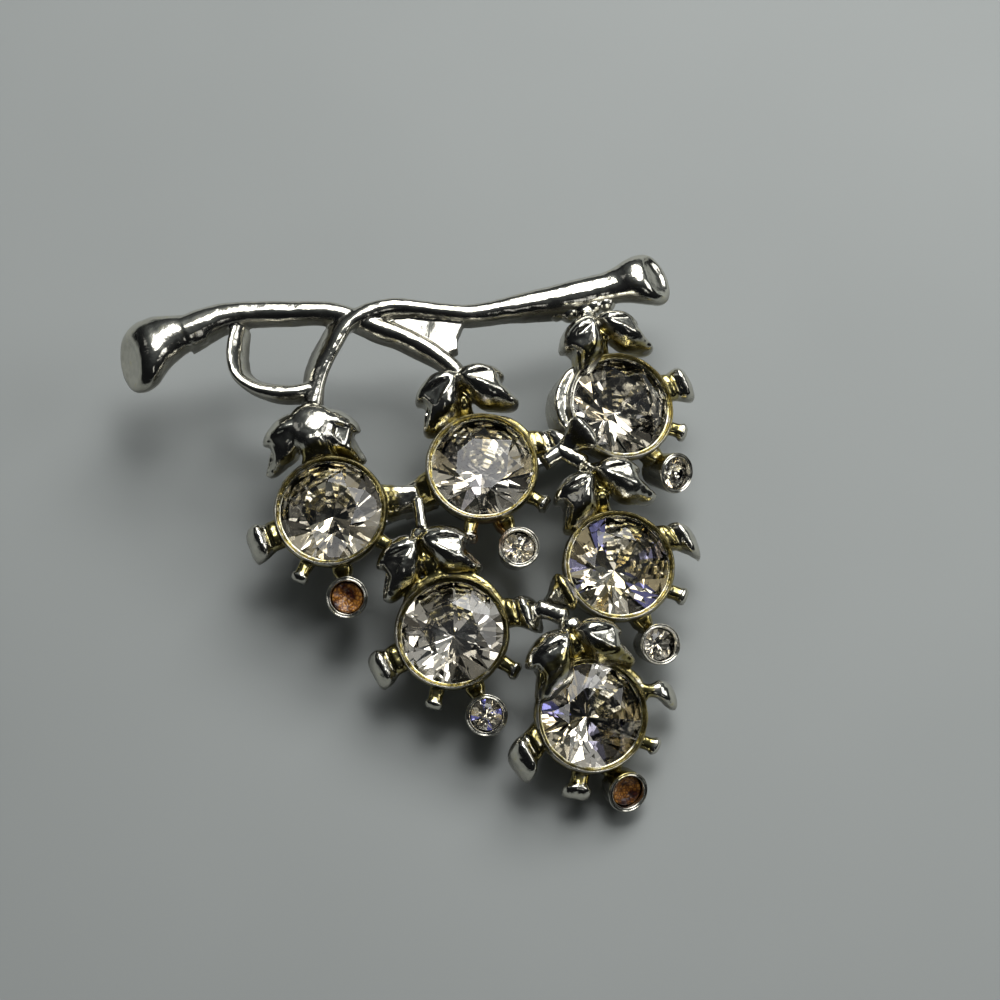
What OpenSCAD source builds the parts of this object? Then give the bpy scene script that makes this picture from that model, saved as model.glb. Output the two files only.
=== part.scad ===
/* [Stones] */
// Diameter of a large stone
stone_d = 8.9; // [8.7:0.05:8.95]
// Diameter of a small stone
chip_d = 2.6; // [2.4:0.05:2.65]

/* [Settings] */
// Outside diameter of a fruit's cup at its rim
cup_d = 9.6; // [9.55:0.05:9.8]
// Depth of a cup from its rim to its back
cup_depth = 4.7; // [4.7:0.05:4.9]
// Diameter of the hole in the back of a cup
cup_hole = 2.6; // [2:0.1:3]
// Outside diameter of a small tube setting
tube_d = 3.5; // [3.4:0.05:3.7]
// Width of the tube's wall at its rim
tube_wall = 0.37; // [0.35:0.01:0.4]

/* [Twigs] */
// Widening of a twig from its top to its back
twig_draft = 1.02; // [1:0.02:1.2]

/* [Pin] */
// Diameter of the pin's stem
stem_d = 0.9; // [0.8:0.05:1]
// Width of the flat bar that carries the hinge and the catch
bar_w = 2.4; // [2.2:0.1:2.8]
// Thickness of that bar
bar_t = 0.8; // [0.7:0.05:0.9]
// Height of the bar's upper face above the table
bar_top = 3.2; // [3.1:0.05:3.2]

/* [Hidden] */

rhodium = "#c4c6c5";
crystal = "#dfe3ea";
cement = "#9a5a1e";
steel = "#a9abac";

// Middle of the whole brooch in the sketch that the places below are taken from
middle = [-0.26, 0.52, 0];

// Fruits: middle of the cup's rim, lean to the right and to the front, turn, and drop of the stone
F_X = 0;
F_Y = 1;
F_Z = 2;
F_RIGHT = 3;
F_FRONT = 4;
F_TURN = 5;
F_DROP = 6;
fruits = [
  // x, y, z, right, front, turn, drop
  [-6.6, 0.5, 8.8, -2, 8, -5, 0.7],
  [6.1, 4.6, 8.7, 2, 6, -2, 0.8],
  [18.0, 10.15, 8.9, 16, 7, 5, 0.65],
  [3.6, -9.6, 6.9, -3, 12, 0, 0.95],
  [17.6, -3.7, 7.0, 8, 8, 3, 0.7],
  [15.2, -16.4, 5.63, 12, 14, 1, 0.65]
];

// Leaf pairs: bearing and distance of the stem from the cup's middle, height over the rim, tip
// towards the front, width and height of the neck; then for the left and for the right leaf its
// length, breadth, swing, and shift outwards and up
P_BEARING = 0;
P_REACH = 1;
P_LIFT = 2;
P_TIP = 3;
P_NECK = 4;
P_CREST = 5;
P_LEFT = 6;
P_RIGHT = 7;
leaf_pairs = [
  // bearing, reach, lift, tip, neck, crest, left leaf, right leaf
  [108, 9.4, 0.2, 22, 2.7, 0.35, [1.04, 0.85, 2, 0.5, -0.4], [1.04, 0.88, -8, 0.4, -0.5]],
  [108, 8.7, 0.3, 0, 1.5, -0.6, [1.0, 1.0, 1, -0.1, 0.3], [1.0, 0.9, 11, -0.1, 0.1]],
  [104, 7.8, 0.4, 0, 1.6, -0.5, [0.9, 0.9, -16, 0.6, 0.7], [1.0, 0.72, 12, -0.2, 0.45]],
  [107, 9.3, 0.3, 4, 1.8, -0.4, [1.02, 0.97, 5, 0.25, -0.45], [1.0, 0.92, 4, -0.2, -0.4]],
  [101, 9.1, 0.3, 0, 1.5, -0.6, [0.92, 0.92, -6, 0.6, -0.5], [1.02, 0.87, 16, -0.5, -0.2]],
  [105, 8.2, 0.6, 0, 1.8, -0.2, [1.05, 0.97, -8, 0.7, -0.5], [1.02, 0.88, 10, -0.1, -0.5]]
];
A_LONG = 0;
A_BROAD = 1;
A_SWING = 2;
A_OUT = 3;
A_UP = 4;

// Outline of a right-hand leaf from its stem round its two lobes, and for each of its places the
// place and height of the ridge that the leaf rises to from there
leaf = [
  // across, down, ridge across, ridge down, ridge height
  [-0.1, -0.5, 0.6, -1.2, 1.7],
  [1.0, 0.0, 1.0, -1.0, 1.8],
  [2.4, -0.2, 2.2, -1.15, 1.8],
  [3.6, -1.1, 3.1, -1.6, 1.3],
  [3.95, -2.1, 3.3, -1.8, 1.2],
  [3.25, -2.55, 3.1, -1.8, 1.2],
  [3.6, -3.6, 2.9, -3.9, 1.6],
  [3.95, -4.7, 3.2, -4.4, 1.3],
  [3.2, -5.2, 3.2, -4.4, 1.3],
  [2.0, -4.75, 2.8, -3.9, 1.6],
  [0.7, -4.1, 2.1, -2.9, 2.1],
  [0.0, -2.3, 0.9, -1.6, 1.9]
];
leaf_crown = [1.9, -2.3, 1.9];
leaf_edge = -0.5;
leaf_side = 0.5;
leaf_back = -1.9;
leaf_droop = 0.12;
// Direction in which a leaf is stretched to its length
leaf_axis = [0.643, -0.766];

// Small tube settings: bearing and distance from the cup's middle, drop, lean outwards, length
T_BEARING = 0;
T_REACH = 1;
T_DROP = 2;
T_OUT = 3;
T_LONG = 4;
tubes = [
  // bearing, reach, drop, out, long
  [286, 7.4, 1.0, 10, 3.4],
  [297, 7.5, 1.0, 6, 3.4],
  [312, 7.5, 1.2, 27, 3.2],
  [292, 7.4, 1.0, 10, 3.2],
  [297, 7.4, 1.0, 12, 3.2],
  [299, 7.0, 0.8, 24, 2.3]
];

// Shapes of the tabs: straps that run outwards from the cup
wide_tab = [
  // distance, width, top, thickness
  [4.6, 2.6, -0.4, 1.4],
  [5.2, 2.5, -0.15, 1.4],
  [5.7, 2.6, -0.4, 1.3],
  [6.3, 3.1, 0.05, 1.6],
  [6.9, 3.1, -0.5, 1.7],
  [7.3, 2.9, -1.2, 1.6],
  [7.5, 2.0, -2.0, 1.2]
];
long_tab = [
  // distance, width, top, thickness
  [4.6, 2.6, -0.4, 1.4],
  [5.6, 2.4, -0.2, 1.4],
  [6.1, 2.4, -0.6, 1.3],
  [6.6, 2.6, -0.1, 1.6],
  [7.4, 2.7, 0.0, 1.7],
  [8.1, 2.6, -0.7, 1.7],
  [8.5, 2.0, -1.6, 1.4]
];
saddle_tab = [
  // distance, width, top, thickness
  [4.6, 3.0, -0.5, 2.0],
  [5.2, 2.8, -0.7, 2.0],
  [6.2, 2.6, -1.1, 2.0],
  [7.4, 2.4, -1.2, 2.0]
];
spoon_tab = [
  // distance, width, top, thickness
  [4.6, 1.9, -0.4, 1.4],
  [5.4, 1.3, -0.2, 1.3],
  [6.0, 1.5, -0.2, 1.2],
  [6.5, 2.2, -0.25, 1.5],
  [7.1, 2.5, -0.6, 1.7],
  [7.85, 1.3, -1.8, 1.1]
];
rim_kite = [
  // distance, width, top, thickness
  [3.7, 0.5, 0.5, 0.3],
  [4.5, 3.3, 1.0, 1.0],
  [5.4, 2.0, 0.1, 1.4],
  [6.2, 1.5, -0.8, 1.3],
  [8.2, 1.4, -1.2, 1.3]
];
outer_kite = [
  // distance, width, top, thickness
  [4.5, 0.9, -0.1, 0.7],
  [5.2, 3.5, 0.8, 1.4],
  [6.2, 1.6, -0.4, 1.5],
  [6.7, 1.0, -1.3, 1.2]
];
small_tab = [
  // distance, width, top, thickness
  [4.6, 1.3, -0.8, 1.0],
  [5.6, 1.15, -0.7, 0.9],
  [6.0, 1.6, -0.5, 1.2],
  [6.45, 1.2, -0.9, 0.9]
];
spade_tab = [
  // distance, width, top, thickness
  [4.6, 1.6, -0.8, 1.1],
  [5.5, 1.5, -0.7, 1.1],
  [6.0, 2.3, -0.5, 1.3],
  [6.6, 2.3, -0.9, 1.2],
  [6.9, 1.4, -1.4, 0.9]
];

// The tabs of each fruit from the right round by the left: bearing of the root and of the tip, and
// shape
fruit_tabs = [
  [[18, 16, saddle_tab], [206, 208, wide_tab], [250, 250, small_tab], [335, 335, small_tab]],
  [[33, 16, long_tab], [203, 205, saddle_tab], [262, 262, small_tab], [333, 333, small_tab]],
  [[25, 20, wide_tab], [216, 216, rim_kite], [262, 262, small_tab], [342, 342, small_tab]],
  [[22, 10, wide_tab], [203, 207, wide_tab], [254, 255, small_tab], [330, 328, small_tab]],
  [[35, 16, wide_tab], [206, 206, outer_kite], [258, 258, small_tab], [336, 336, small_tab]],
  [[31, 13, spoon_tab], [203, 220, wide_tab], [264, 262, spade_tab], [337, 339, small_tab]]
];

// Thicker stretches of the cups' walls: fruit, from and to a bearing, out to a radius, top and back
collars = [
  // fruit, from, to, reach, top, back
  [1, 20, 75, 5.1, -0.25, -2.6],
  [2, 128, 212, 5.7, -0.9, -4.2],
  [3, 20, 150, 5.3, -0.3, -2.2],
  [5, 15, 60, 5.3, -0.4, -2.6]
];

// Twigs along their top line, with the sideways spread of their foot
W_X = 0;
W_Y = 1;
W_Z = 2;
W_WIDE = 3;
W_DEEP = 4;
W_FOOT = 5;
left_twig = [
  // x, y, z, width, depth, foot
  [-19.4, 16.2, 11.8, 3.3, 2.9, 0],
  [-18.0, 16.9, 11.8, 3.0, 2.7, 0],
  [-16.4, 17.6, 11.7, 2.6, 2.4, 0],
  [-14.4, 18.0, 11.6, 2.2, 2.1, 0],
  [-10.8, 18.2, 11.4, 2.0, 2.0, 0],
  [-7.5, 18.3, 11.2, 1.9, 1.9, 0],
  [-5.2, 17.9, 11.0, 1.8, 2.0, 0],
  [-3.0, 17.1, 10.7, 1.8, 2.0, -0.2],
  [-1.0, 16.4, 10.5, 1.7, 2.0, -0.2],
  [1.2, 15.3, 10.3, 1.7, 1.9, -0.2],
  [2.9, 14.1, 10.1, 1.7, 1.8, 0],
  [4.3, 12.6, 9.8, 1.6, 1.6, 0]
];
right_twig = [
  // x, y, z, width, depth, foot
  [17.0, 21.2, 10.5, 3.1, 3.0, 0],
  [15.0, 20.7, 10.5, 3.1, 2.9, 0],
  [13.2, 20.2, 10.5, 3.0, 2.8, 0],
  [11.4, 19.8, 10.5, 2.7, 2.6, 0],
  [9.3, 19.3, 10.5, 2.3, 2.3, 0],
  [7.6, 18.9, 10.6, 2.0, 2.1, 0],
  [5.0, 18.4, 10.6, 1.8, 2.0, 0],
  [2.4, 18.5, 10.8, 1.7, 2.0, 0],
  [0.3, 18.8, 10.9, 1.7, 2.0, 0],
  [-1.7, 18.8, 11.1, 1.8, 2.1, 0],
  [-3.7, 18.2, 11.2, 1.9, 2.3, 0],
  [-5.3, 17.0, 11.2, 1.9, 2.4, -1.0],
  [-6.2, 15.4, 10.9, 1.9, 2.4, -1.3],
  [-7.1, 13.6, 10.6, 1.8, 2.2, -1.2],
  [-7.8, 11.8, 10.3, 1.8, 2.0, -0.8],
  [-8.3, 9.8, 10.0, 1.8, 1.8, 0]
];
curl = [
  // x, y, z, width, depth, foot
  [-15.0, 17.2, 10.9, 1.4, 1.8, 0.6],
  [-15.4, 15.7, 10.9, 1.2, 2.0, 1.0],
  [-15.5, 14.1, 10.8, 1.2, 2.0, 1.1],
  [-15.0, 12.4, 10.6, 1.3, 2.0, 1.0],
  [-13.5, 11.3, 10.4, 1.4, 2.0, 0.7],
  [-11.6, 10.9, 10.3, 1.6, 2.0, 0.4],
  [-9.8, 11.0, 10.2, 1.6, 2.0, 0.2],
  [-8.2, 11.5, 10.1, 1.6, 1.8, 0]
];

// Flared ends of the twigs: place of the neck, bearing, and rings from the neck round the rim and
// into the shallow dish of the cut
E_ALONG = 0;
E_LIFT = 1;
E_ASIDE = 2;
E_WIDE = 3;
E_HIGH = 4;
E_LEAN = 5;
left_end_place = [-18.6, 16.7, 9.6];
left_end_bearing = 198;
left_end = [
  // along, lift, aside, half width, half height, lean
  [-0.8, 0.8, 0.3, 1.3, 1.15, 0],
  [0.2, 0.7, 0.2, 1.55, 1.4, 2],
  [1.2, 0.55, 0.15, 1.75, 1.6, 5],
  [2.3, 0.3, 0.15, 2.15, 1.95, 10],
  [3.3, 0.05, 0.3, 2.65, 2.3, 16],
  [4.1, -0.1, 0.6, 3.0, 2.55, 20],
  [4.9, -0.05, 0.85, 3.15, 2.6, 24],
  [5.5, 0.0, 1.0, 3.0, 2.45, 27],
  [5.95, 0.0, 1.05, 2.6, 2.1, 29],
  [6.05, 0.05, 1.0, 2.1, 1.6, 30],
  [5.9, 0.05, 1.0, 1.2, 0.9, 30]
];
right_end_place = [16.6, 21.1, 9.2];
right_end_bearing = 15;
right_end = [
  // along, lift, aside, half width, half height, lean
  [-0.6, -0.05, 0.0, 1.35, 1.25, 0],
  [1.0, 0.0, 0.0, 1.55, 1.4, 6],
  [1.9, 0.05, 0.0, 1.8, 1.6, 14],
  [2.7, 0.05, 0.0, 2.1, 1.9, 20],
  [3.5, -0.05, -0.05, 2.35, 2.15, 22],
  [4.2, -0.15, -0.1, 2.45, 2.2, 24],
  [4.7, -0.1, -0.1, 2.3, 2.0, 30],
  [4.8, 0.25, -0.1, 2.0, 1.7, 40],
  [4.45, 0.5, -0.1, 1.75, 1.45, 48],
  [4.25, 0.4, -0.1, 1.5, 1.2, 48]
];

// Web that fills the gap between the twigs where they part
web_edge = [
  [-3.4, 17.3], [-1.0, 17.9], [1.6, 17.8], [3.7, 18.2], [4.4, 17.5],
  [3.9, 16.2], [4.0, 15.0], [3.2, 14.7], [1.2, 16.3], [-1.0, 16.8]
];
web_back = 8.5;
web_top = 9.9;

// Lumps on the web and under the right twig, and the one that joins the first pair of leaves
lumps = [
  // x, y, z, across, tall
  [2.4, 17.0, 9.5, 3.0, 1.4],
  [12.8, 19.2, 8.6, 2.1, 2.0],
  [14.5, 19.4, 8.8, 2.0, 1.9],
  [16.3, 19.8, 8.9, 2.0, 1.9],
  [-8.3, 7.8, 9.5, 4.4, 2.6]
];

// Stems that tie the leaf pairs to what they hang from
stems = [
  // start, end, thickness
  [[0.7, 1.6, 8.1], [1.1, -0.9, 8.3], 1.1],
  [[15.2, 19.8, 8.6], [15.1, 17.6, 9.2], 1.8],
  [[12.6, 6.3, 8.2], [14.6, 5.0, 8.3], 1.6],
  [[10.9, -7.4, 6.5], [12.9, -8.3, 6.9], 1.6]
];

// Half outline of a twig's section: across as a share of half the width, down as a share of the depth
twig_half = [[0.6, 0.08], [0.97, 0.4], [twig_draft, 0.8], [twig_draft - 0.15, 1]];

// Points of a twig's ring, right half and then left half
twig_section = concat(
  [[0, 0]],
  [for (p = twig_half) [-p[0], p[1]]],
  [for (i = [len(twig_half) - 1:-1:0]) twig_half[i]]
);

// Rows of a table joined by a smooth curve, with steps points from one row to the next
function curve(a, b, c, d, t) =
  0.5 * (2 * b + (c - a) * t + (2 * a - 5 * b + 4 * c - d) * t * t + (3 * b - a - 3 * c + d) * t * t * t);
function smooth(rows, steps) = concat(
  [for (i = [0:len(rows) - 2], k = [0:steps - 1])
    curve(rows[max(i - 1, 0)], rows[i], rows[i + 1], rows[min(i + 2, len(rows) - 1)], k / steps)],
  [rows[len(rows) - 1]]
);

// Point turned about the upright axis
function turned(p, bearing) = [
  p[0] * cos(bearing) - p[1] * sin(bearing),
  p[0] * sin(bearing) + p[1] * cos(bearing),
  p[2]
];

// One solid through a row of rings of points. It ends in a flat face, or in a peak where one is given.
module loft(rings, peak = undef) {
  n = len(rings[0]);
  last = len(rings) - 1;
  points = [for (ring = rings) each ring];
  sides = [
    for (i = [0:last - 1], j = [0:n - 1])
      let (a = i * n + j, b = i * n + (j + 1) % n)
        each [[a, b, b + n], [a, b + n, a + n]]
  ];
  start = [for (j = [n - 1:-1:0]) j];
  flat = [[for (j = [0:n - 1]) last * n + j]];
  fan = [for (j = [0:n - 1]) [last * n + j, last * n + (j + 1) % n, len(points)]];
  if (is_undef(peak))
    polyhedron(points, concat(sides, [start], flat), convexity = 6);
  else
    polyhedron(concat(points, [peak]), concat(sides, [start], fan), convexity = 6);
}

// Ring of a twig at a row, which travels towards ahead
function twig_ring(row, ahead) =
  let (along = ahead / norm(ahead), side = [along[1], -along[0]]) [
    for (p = twig_section)
      let (
        across = p[0] * row[W_WIDE] / 2 - row[W_FOOT] * p[1],
        place = [row[W_X], row[W_Y]] + side * across
      )
        [place[0], place[1], row[W_Z] - p[1] * row[W_DEEP]]
  ];

module twig(rows) {
  line = smooth(rows, 2);
  last = len(line) - 1;
  loft([
    for (i = [0:last])
      let (a = line[max(i - 1, 0)], b = line[min(i + 1, last)])
        twig_ring(line[i], [b[0] - a[0], b[1] - a[1]])
  ]);
}

module flared_end(place, bearing, rows) {
  sides = 12;
  out = [cos(bearing), sin(bearing), 0];
  side = [-sin(bearing), cos(bearing), 0];
  up = [0, 0, 1];
  loft([
    for (row = rows)
      let (
        slope = up * cos(row[E_LEAN]) - out * sin(row[E_LEAN]),
        spot = place + out * row[E_ALONG] + up * row[E_LIFT] + side * row[E_ASIDE]
      )
        [for (k = [0:sides - 1])
          spot + side * row[E_WIDE] * sin(360 * k / sides) + slope * row[E_HIGH] * cos(360 * k / sides)]
  ]);
}

module lump(x, y, z, across, tall) {
  translate([x, y, z])
    scale([1, 1, tall / across])
      sphere(d = across, $fn = 8);
}

module stem(from, to, thick) {
  hull() {
    translate(from)
      sphere(d = thick, $fn = 8);
    translate(to)
      sphere(d = thick, $fn = 8);
  }
}

// Outline of a strap or tab that runs outwards along X
function tab_ring(row) =
  let (x = row[0], half = row[1] / 2, top = row[2], back = row[2] - row[3], edge = row[2] - row[3] * 0.4)
    [[x, -half, back], [x, -half, edge], [x, -half / 2, top],
     [x, half / 2, top], [x, half, edge], [x, half, back]];

// Strap that runs outwards from the bearing of its root to that of its tip
module tab(root, tip, rows) {
  start = rows[0][0];
  long = rows[len(rows) - 1][0] - start;
  loft([
    for (row = rows)
      [for (p = tab_ring(row)) turned(p, root + (tip - root) * (row[0] - start) / long)]
  ]);
}

// Place of the outline drawn in by a share towards its ridge, in a leaf of this length and breadth
function leaf_place(row, share, long, broad) =
  let (p = [row[0] + (row[2] - row[0]) * share, row[1] + (row[3] - row[1]) * share])
    p * broad + leaf_axis * (leaf_axis * p) * (long - broad);

// Ring of a leaf: its share towards the ridge and the share of the ridge's height that it reaches
function leaf_ring(share, rise, long, broad) = [
  for (row = leaf)
    let (p = leaf_place(row, share, long, broad))
      [p[0], p[1], leaf_edge + rise * row[4] - leaf_droop * norm(p)]
];

module one_leaf(long, broad) {
  peak = leaf_place([leaf_crown[0], leaf_crown[1], 0, 0], 0, long, broad);
  loft(
    [
      [for (p = leaf_ring(0.2, 0, long, broad)) p + [0, 0, leaf_back - leaf_edge]],
      [for (p = leaf_ring(0, 0, long, broad)) p - [0, 0, leaf_side]],
      leaf_ring(0.1, 0.34, long, broad),
      leaf_ring(0.5, 0.83, long, broad)
    ],
    [peak[0], peak[1], leaf_edge + leaf_crown[2] - leaf_droop * norm(peak)]
  );
}

module leaf_pair(i) {
  pair = leaf_pairs[i];
  neck = pair[P_NECK];
  crest = pair[P_CREST];
  tab(pair[P_BEARING], pair[P_BEARING], [
    // distance, width, top, thickness
    [4.7, neck * 1.2, crest - 0.4, 1.7],
    [5.3, neck, crest + 0.2, 2.2],
    [6.2, neck, crest + 0.7, 2.6],
    [6.9, neck * 0.9, crest + 0.4, 2.3],
    [pair[P_REACH] - 0.6, 1.8, pair[P_LIFT] - 0.2, 2.0],
    [pair[P_REACH], 1.5, pair[P_LIFT] - 0.5, 1.2]
  ]);
  rotate([0, 0, pair[P_BEARING] - 90])
    translate([0, pair[P_REACH], pair[P_LIFT]])
      rotate([pair[P_TIP], 0, 0]) {
        left = pair[P_LEFT];
        right = pair[P_RIGHT];
        translate([-left[A_OUT], left[A_UP], 0])
          rotate([0, 0, -left[A_SWING]])
            mirror([1, 0, 0])
              one_leaf(left[A_LONG], left[A_BROAD]);
        translate([right[A_OUT], right[A_UP], 0])
          rotate([0, 0, right[A_SWING]])
            one_leaf(right[A_LONG], right[A_BROAD]);
      }
}

module at_fruit(i) {
  f = fruits[i];
  translate([f[F_X], f[F_Y], f[F_Z]])
    rotate([f[F_FRONT], f[F_RIGHT], 0])
      rotate([0, 0, f[F_TURN]])
        children();
}

module at_tube(i) {
  t = tubes[i];
  rotate([0, 0, t[T_BEARING]])
    translate([t[T_REACH], 0, -t[T_DROP]])
      rotate([0, t[T_OUT], 0])
        children();
}

// Wall of a cup, with a ledge that the stone's girdle stands on
cup_floor = 0.5;
stone_gap = 0.1;
seat_gap = 0.3;

module cup(drop) {
  r = cup_d / 2;
  seat = drop + seat_gap;
  hole = cup_hole / 2;
  bore = stone_d / 2 + stone_gap;
  rotate_extrude($fn = 24)
    polygon([
      // radius, height
      [bore, 0], [r - 0.05, 0], [r, -0.35], [r - 0.2, -1.8], [r - 0.75, -3.5], [3.5, -cup_depth],
      [hole, -cup_depth], [hole, -cup_depth + cup_floor], [3.3, -cup_depth + 0.7],
      [bore - 0.35, -seat - 0.2], [bore, -seat]
    ]);
}

// Thicker stretch of a cup's wall between two bearings: its inner edge, where that edge starts to
// draw in, by how much, and the longest step round it
collar_inner = 4.65;
collar_knee = -1.2;
collar_draw = 0.28;
collar_step = 14;

module collar(start, end, reach, top, back) {
  steps = ceil((end - start) / collar_step);
  inner = collar_inner;
  inner_back = inner + (back - collar_knee) * collar_draw;
  loft([
    for (k = [steps:-1:0])
      let (
        bearing = start + (end - start) * k / steps,
        out = inner + 0.15 + (reach - inner - 0.15) * sqrt(sin(180 * k / steps))
      )
        [for (p = [[inner_back, back], [inner, top], [out - 0.12, top], [out, top - 0.25], [out - 0.1, back]])
          turned([p[0], 0, p[1]], bearing)]
  ]);
}

// Small tube with a closed back and a step inside that its stone sits over
tube_taper = 0.3;
tube_step = 0.6;
tube_floor = 1.9;

module tube(long) {
  r = tube_d / 2;
  bore = r - tube_wall;
  rotate_extrude($fn = 14)
    polygon([
      // radius, height
      [bore, 0], [r - 0.12, 0], [r, -0.2], [r - tube_taper, -long], [0, -long],
      [0, -tube_floor], [bore - 0.3, -tube_step - 0.15], [bore, -tube_step]
    ]);
}

// Short strut from the cup's wall to its tube
module tube_web(i) {
  reach = tubes[i][T_REACH];
  loft([
    for (row = [[4.3, 0.9, -1.7, -3.3], [reach - 1.6, 0.6, -1.6, -3.0]])
      let (x = row[0], half = row[1], top = row[2], low = row[3])
        [for (p = [[-half, low], [-half, top], [half, top], [half, low]])
          turned([x, p[0], p[1]], tubes[i][T_BEARING])]
  ]);
}

// Room over the stone that the leaves and the kites leave free
bed_wider = 0.38;
bed_higher = 0.05;

module fruit_setting(i) {
  at_fruit(i) {
    cup(fruits[i][F_DROP]);
    difference() {
      union() {
        for (t = fruit_tabs[i])
          tab(t[0], t[1], t[2]);
        leaf_pair(i);
      }
      translate([0, 0, bed_higher - fruits[i][F_DROP]])
        brilliant(stone_d + bed_wider);
    }
    for (c = collars)
      if (c[0] == i)
        collar(c[1], c[2], c[3], c[4], c[5]);
    at_tube(i)
      tube(tubes[i][T_LONG]);
    tube_web(i);
  }
}

// Solder pads under the upper row of cups: place along the bar, and height of the cup's back
pads = [
  // along, top
  [-2.2, 4.3], [2.4, 4.4],
  [11.0, 4.4], [15.6, 4.4],
  [22.8, 5.0], [27.3, 4.2]
];
pad_d = 2.0;
pad_top_d = 1.6;
bar_start = [-6.4, 1.3, 0];
bar_turn = 22.3;
bar_ends = [-3.2, 28.2];
solder_gap = 0.1;

module on_bar() {
  translate(bar_start)
    rotate([0, 0, bar_turn])
      children();
}

module solder_pads() {
  on_bar()
    for (pad = pads)
      translate([pad[0], 0, bar_top + solder_gap])
        cylinder(d1 = pad_d, d2 = pad_top_d, h = pad[1] - bar_top - solder_gap, $fn = 8);
}

module casting() {
  color(rhodium)
    translate(-middle)
      union() {
        twig(left_twig);
        twig(right_twig);
        twig(curl);
        flared_end(left_end_place, left_end_bearing, left_end);
        flared_end(right_end_place, right_end_bearing, right_end);
        translate([0, 0, web_back])
          linear_extrude(web_top - web_back)
            polygon(web_edge);
        for (row = lumps)
          lump(row[0], row[1], row[2], row[3], row[4]);
        for (row = stems)
          stem(row[0], row[1], row[2]);
        for (i = [0:len(fruits) - 1])
          fruit_setting(i);
        solder_pads();
      }
}

// Brilliant cut: table, stars, kites and upper halves over the girdle, halves and mains under it
module brilliant(d) {
  r = d / 2;
  crown = d * 0.16;
  girdle = d * 0.02;
  pavilion = d * 0.4;
  table = r * 0.52;
  star = r * 0.76;
  lower = r * 0.28;
  star_z = crown * (r - star * cos(22.5)) / (r - table);
  lower_z = -pavilion + (pavilion - girdle) * lower * cos(22.5) / r;
  points = concat(
    [for (k = [0:7]) [table * cos(45 * k), table * sin(45 * k), crown]],
    [for (k = [0:7]) [star * cos(45 * k + 22.5), star * sin(45 * k + 22.5), star_z]],
    [for (k = [0:15]) [r * cos(22.5 * k), r * sin(22.5 * k), 0]],
    [for (k = [0:15]) [r * cos(22.5 * k), r * sin(22.5 * k), -girdle]],
    [for (k = [0:7]) [lower * cos(45 * k + 22.5), lower * sin(45 * k + 22.5), lower_z]],
    [[0, 0, -pavilion]]
  );
  stars_at = 8;
  upper_at = 16;
  under_at = 32;
  lower_at = 48;
  culet = 56;
  faces = concat(
    [[for (k = [7:-1:0]) k]],
    [for (k = [0:7]) [k, (k + 1) % 8, stars_at + k]],
    [for (k = [0:7]) [k, stars_at + k, upper_at + 2 * k]],
    [for (k = [0:7]) [k, upper_at + 2 * k, stars_at + (k + 7) % 8]],
    [for (k = [0:7]) [stars_at + k, upper_at + 2 * k + 1, upper_at + 2 * k]],
    [for (k = [0:7]) [stars_at + k, upper_at + (2 * k + 2) % 16, upper_at + 2 * k + 1]],
    [for (k = [0:15]) [upper_at + k, upper_at + (k + 1) % 16, under_at + (k + 1) % 16, under_at + k]],
    [for (k = [0:7]) [under_at + 2 * k, under_at + 2 * k + 1, lower_at + k]],
    [for (k = [0:7]) [under_at + 2 * k + 1, under_at + (2 * k + 2) % 16, lower_at + k]],
    [for (k = [0:7]) [under_at + 2 * k, lower_at + k, culet]],
    [for (k = [0:7]) [under_at + 2 * k, culet, lower_at + (k + 7) % 8]]
  );
  polyhedron(points, faces, convexity = 2);
}

module main_stone(number) {
  i = number - 1;
  color(crystal)
    translate(-middle)
      at_fruit(i)
        translate([0, 0, -fruits[i][F_DROP]])
          rotate([0, 0, 11 * number])
            brilliant(stone_d);
}

chip_drop = 0.45;

module small_stone(number) {
  i = number - 1;
  color(crystal)
    translate(-middle)
      at_fruit(i)
        at_tube(i)
          translate([0, 0, -chip_drop])
            rotate([0, 0, 17 * number])
              brilliant(chip_d);
}

// Cement left in a tube whose stone is gone: a shallow dish with a rough edge
module old_cement(number) {
  i = number - 1;
  r = tube_d / 2 - tube_wall - 0.1;
  rough = 0.06;
  sides = 12;
  turns = [for (k = [0:sides - 1]) -360 * k / sides];
  rim = [for (k = [0:sides - 1]) r + rough * sin(150 * k)];
  color(cement)
    translate(-middle)
      at_fruit(i)
        at_tube(i)
          loft([
            [for (t = turns) [0.2 * r * cos(t), 0.2 * r * sin(t), -1.5]],
            [for (t = turns) [0.7 * r * cos(t), 0.7 * r * sin(t), -0.8]],
            [for (t = turns) [r * cos(t), r * sin(t), -0.5]],
            [for (k = [0:sides - 1]) [0.9 * rim[k] * cos(turns[k]), 0.9 * rim[k] * sin(turns[k]), -0.4]],
            [for (t = turns) [0.4 * r * cos(t), 0.4 * r * sin(t), -0.8]]
          ]);
}

// Flat bar with a hinge block, a stem and a hook that holds the stem's point
hook_at = 0;
hook_r = 1.3;
hook_bore = 0.75;
hook_mouth = 1.1;
hook_long = 2;
hinge_at = 25.5;
hinge_long = 3;
hinge_w = 2.2;
joined_by = 0.1;
stem_z = hook_r;
point_at = hook_at + 1.4;
point_long = 3.4;
point_d = 0.2;

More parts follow.
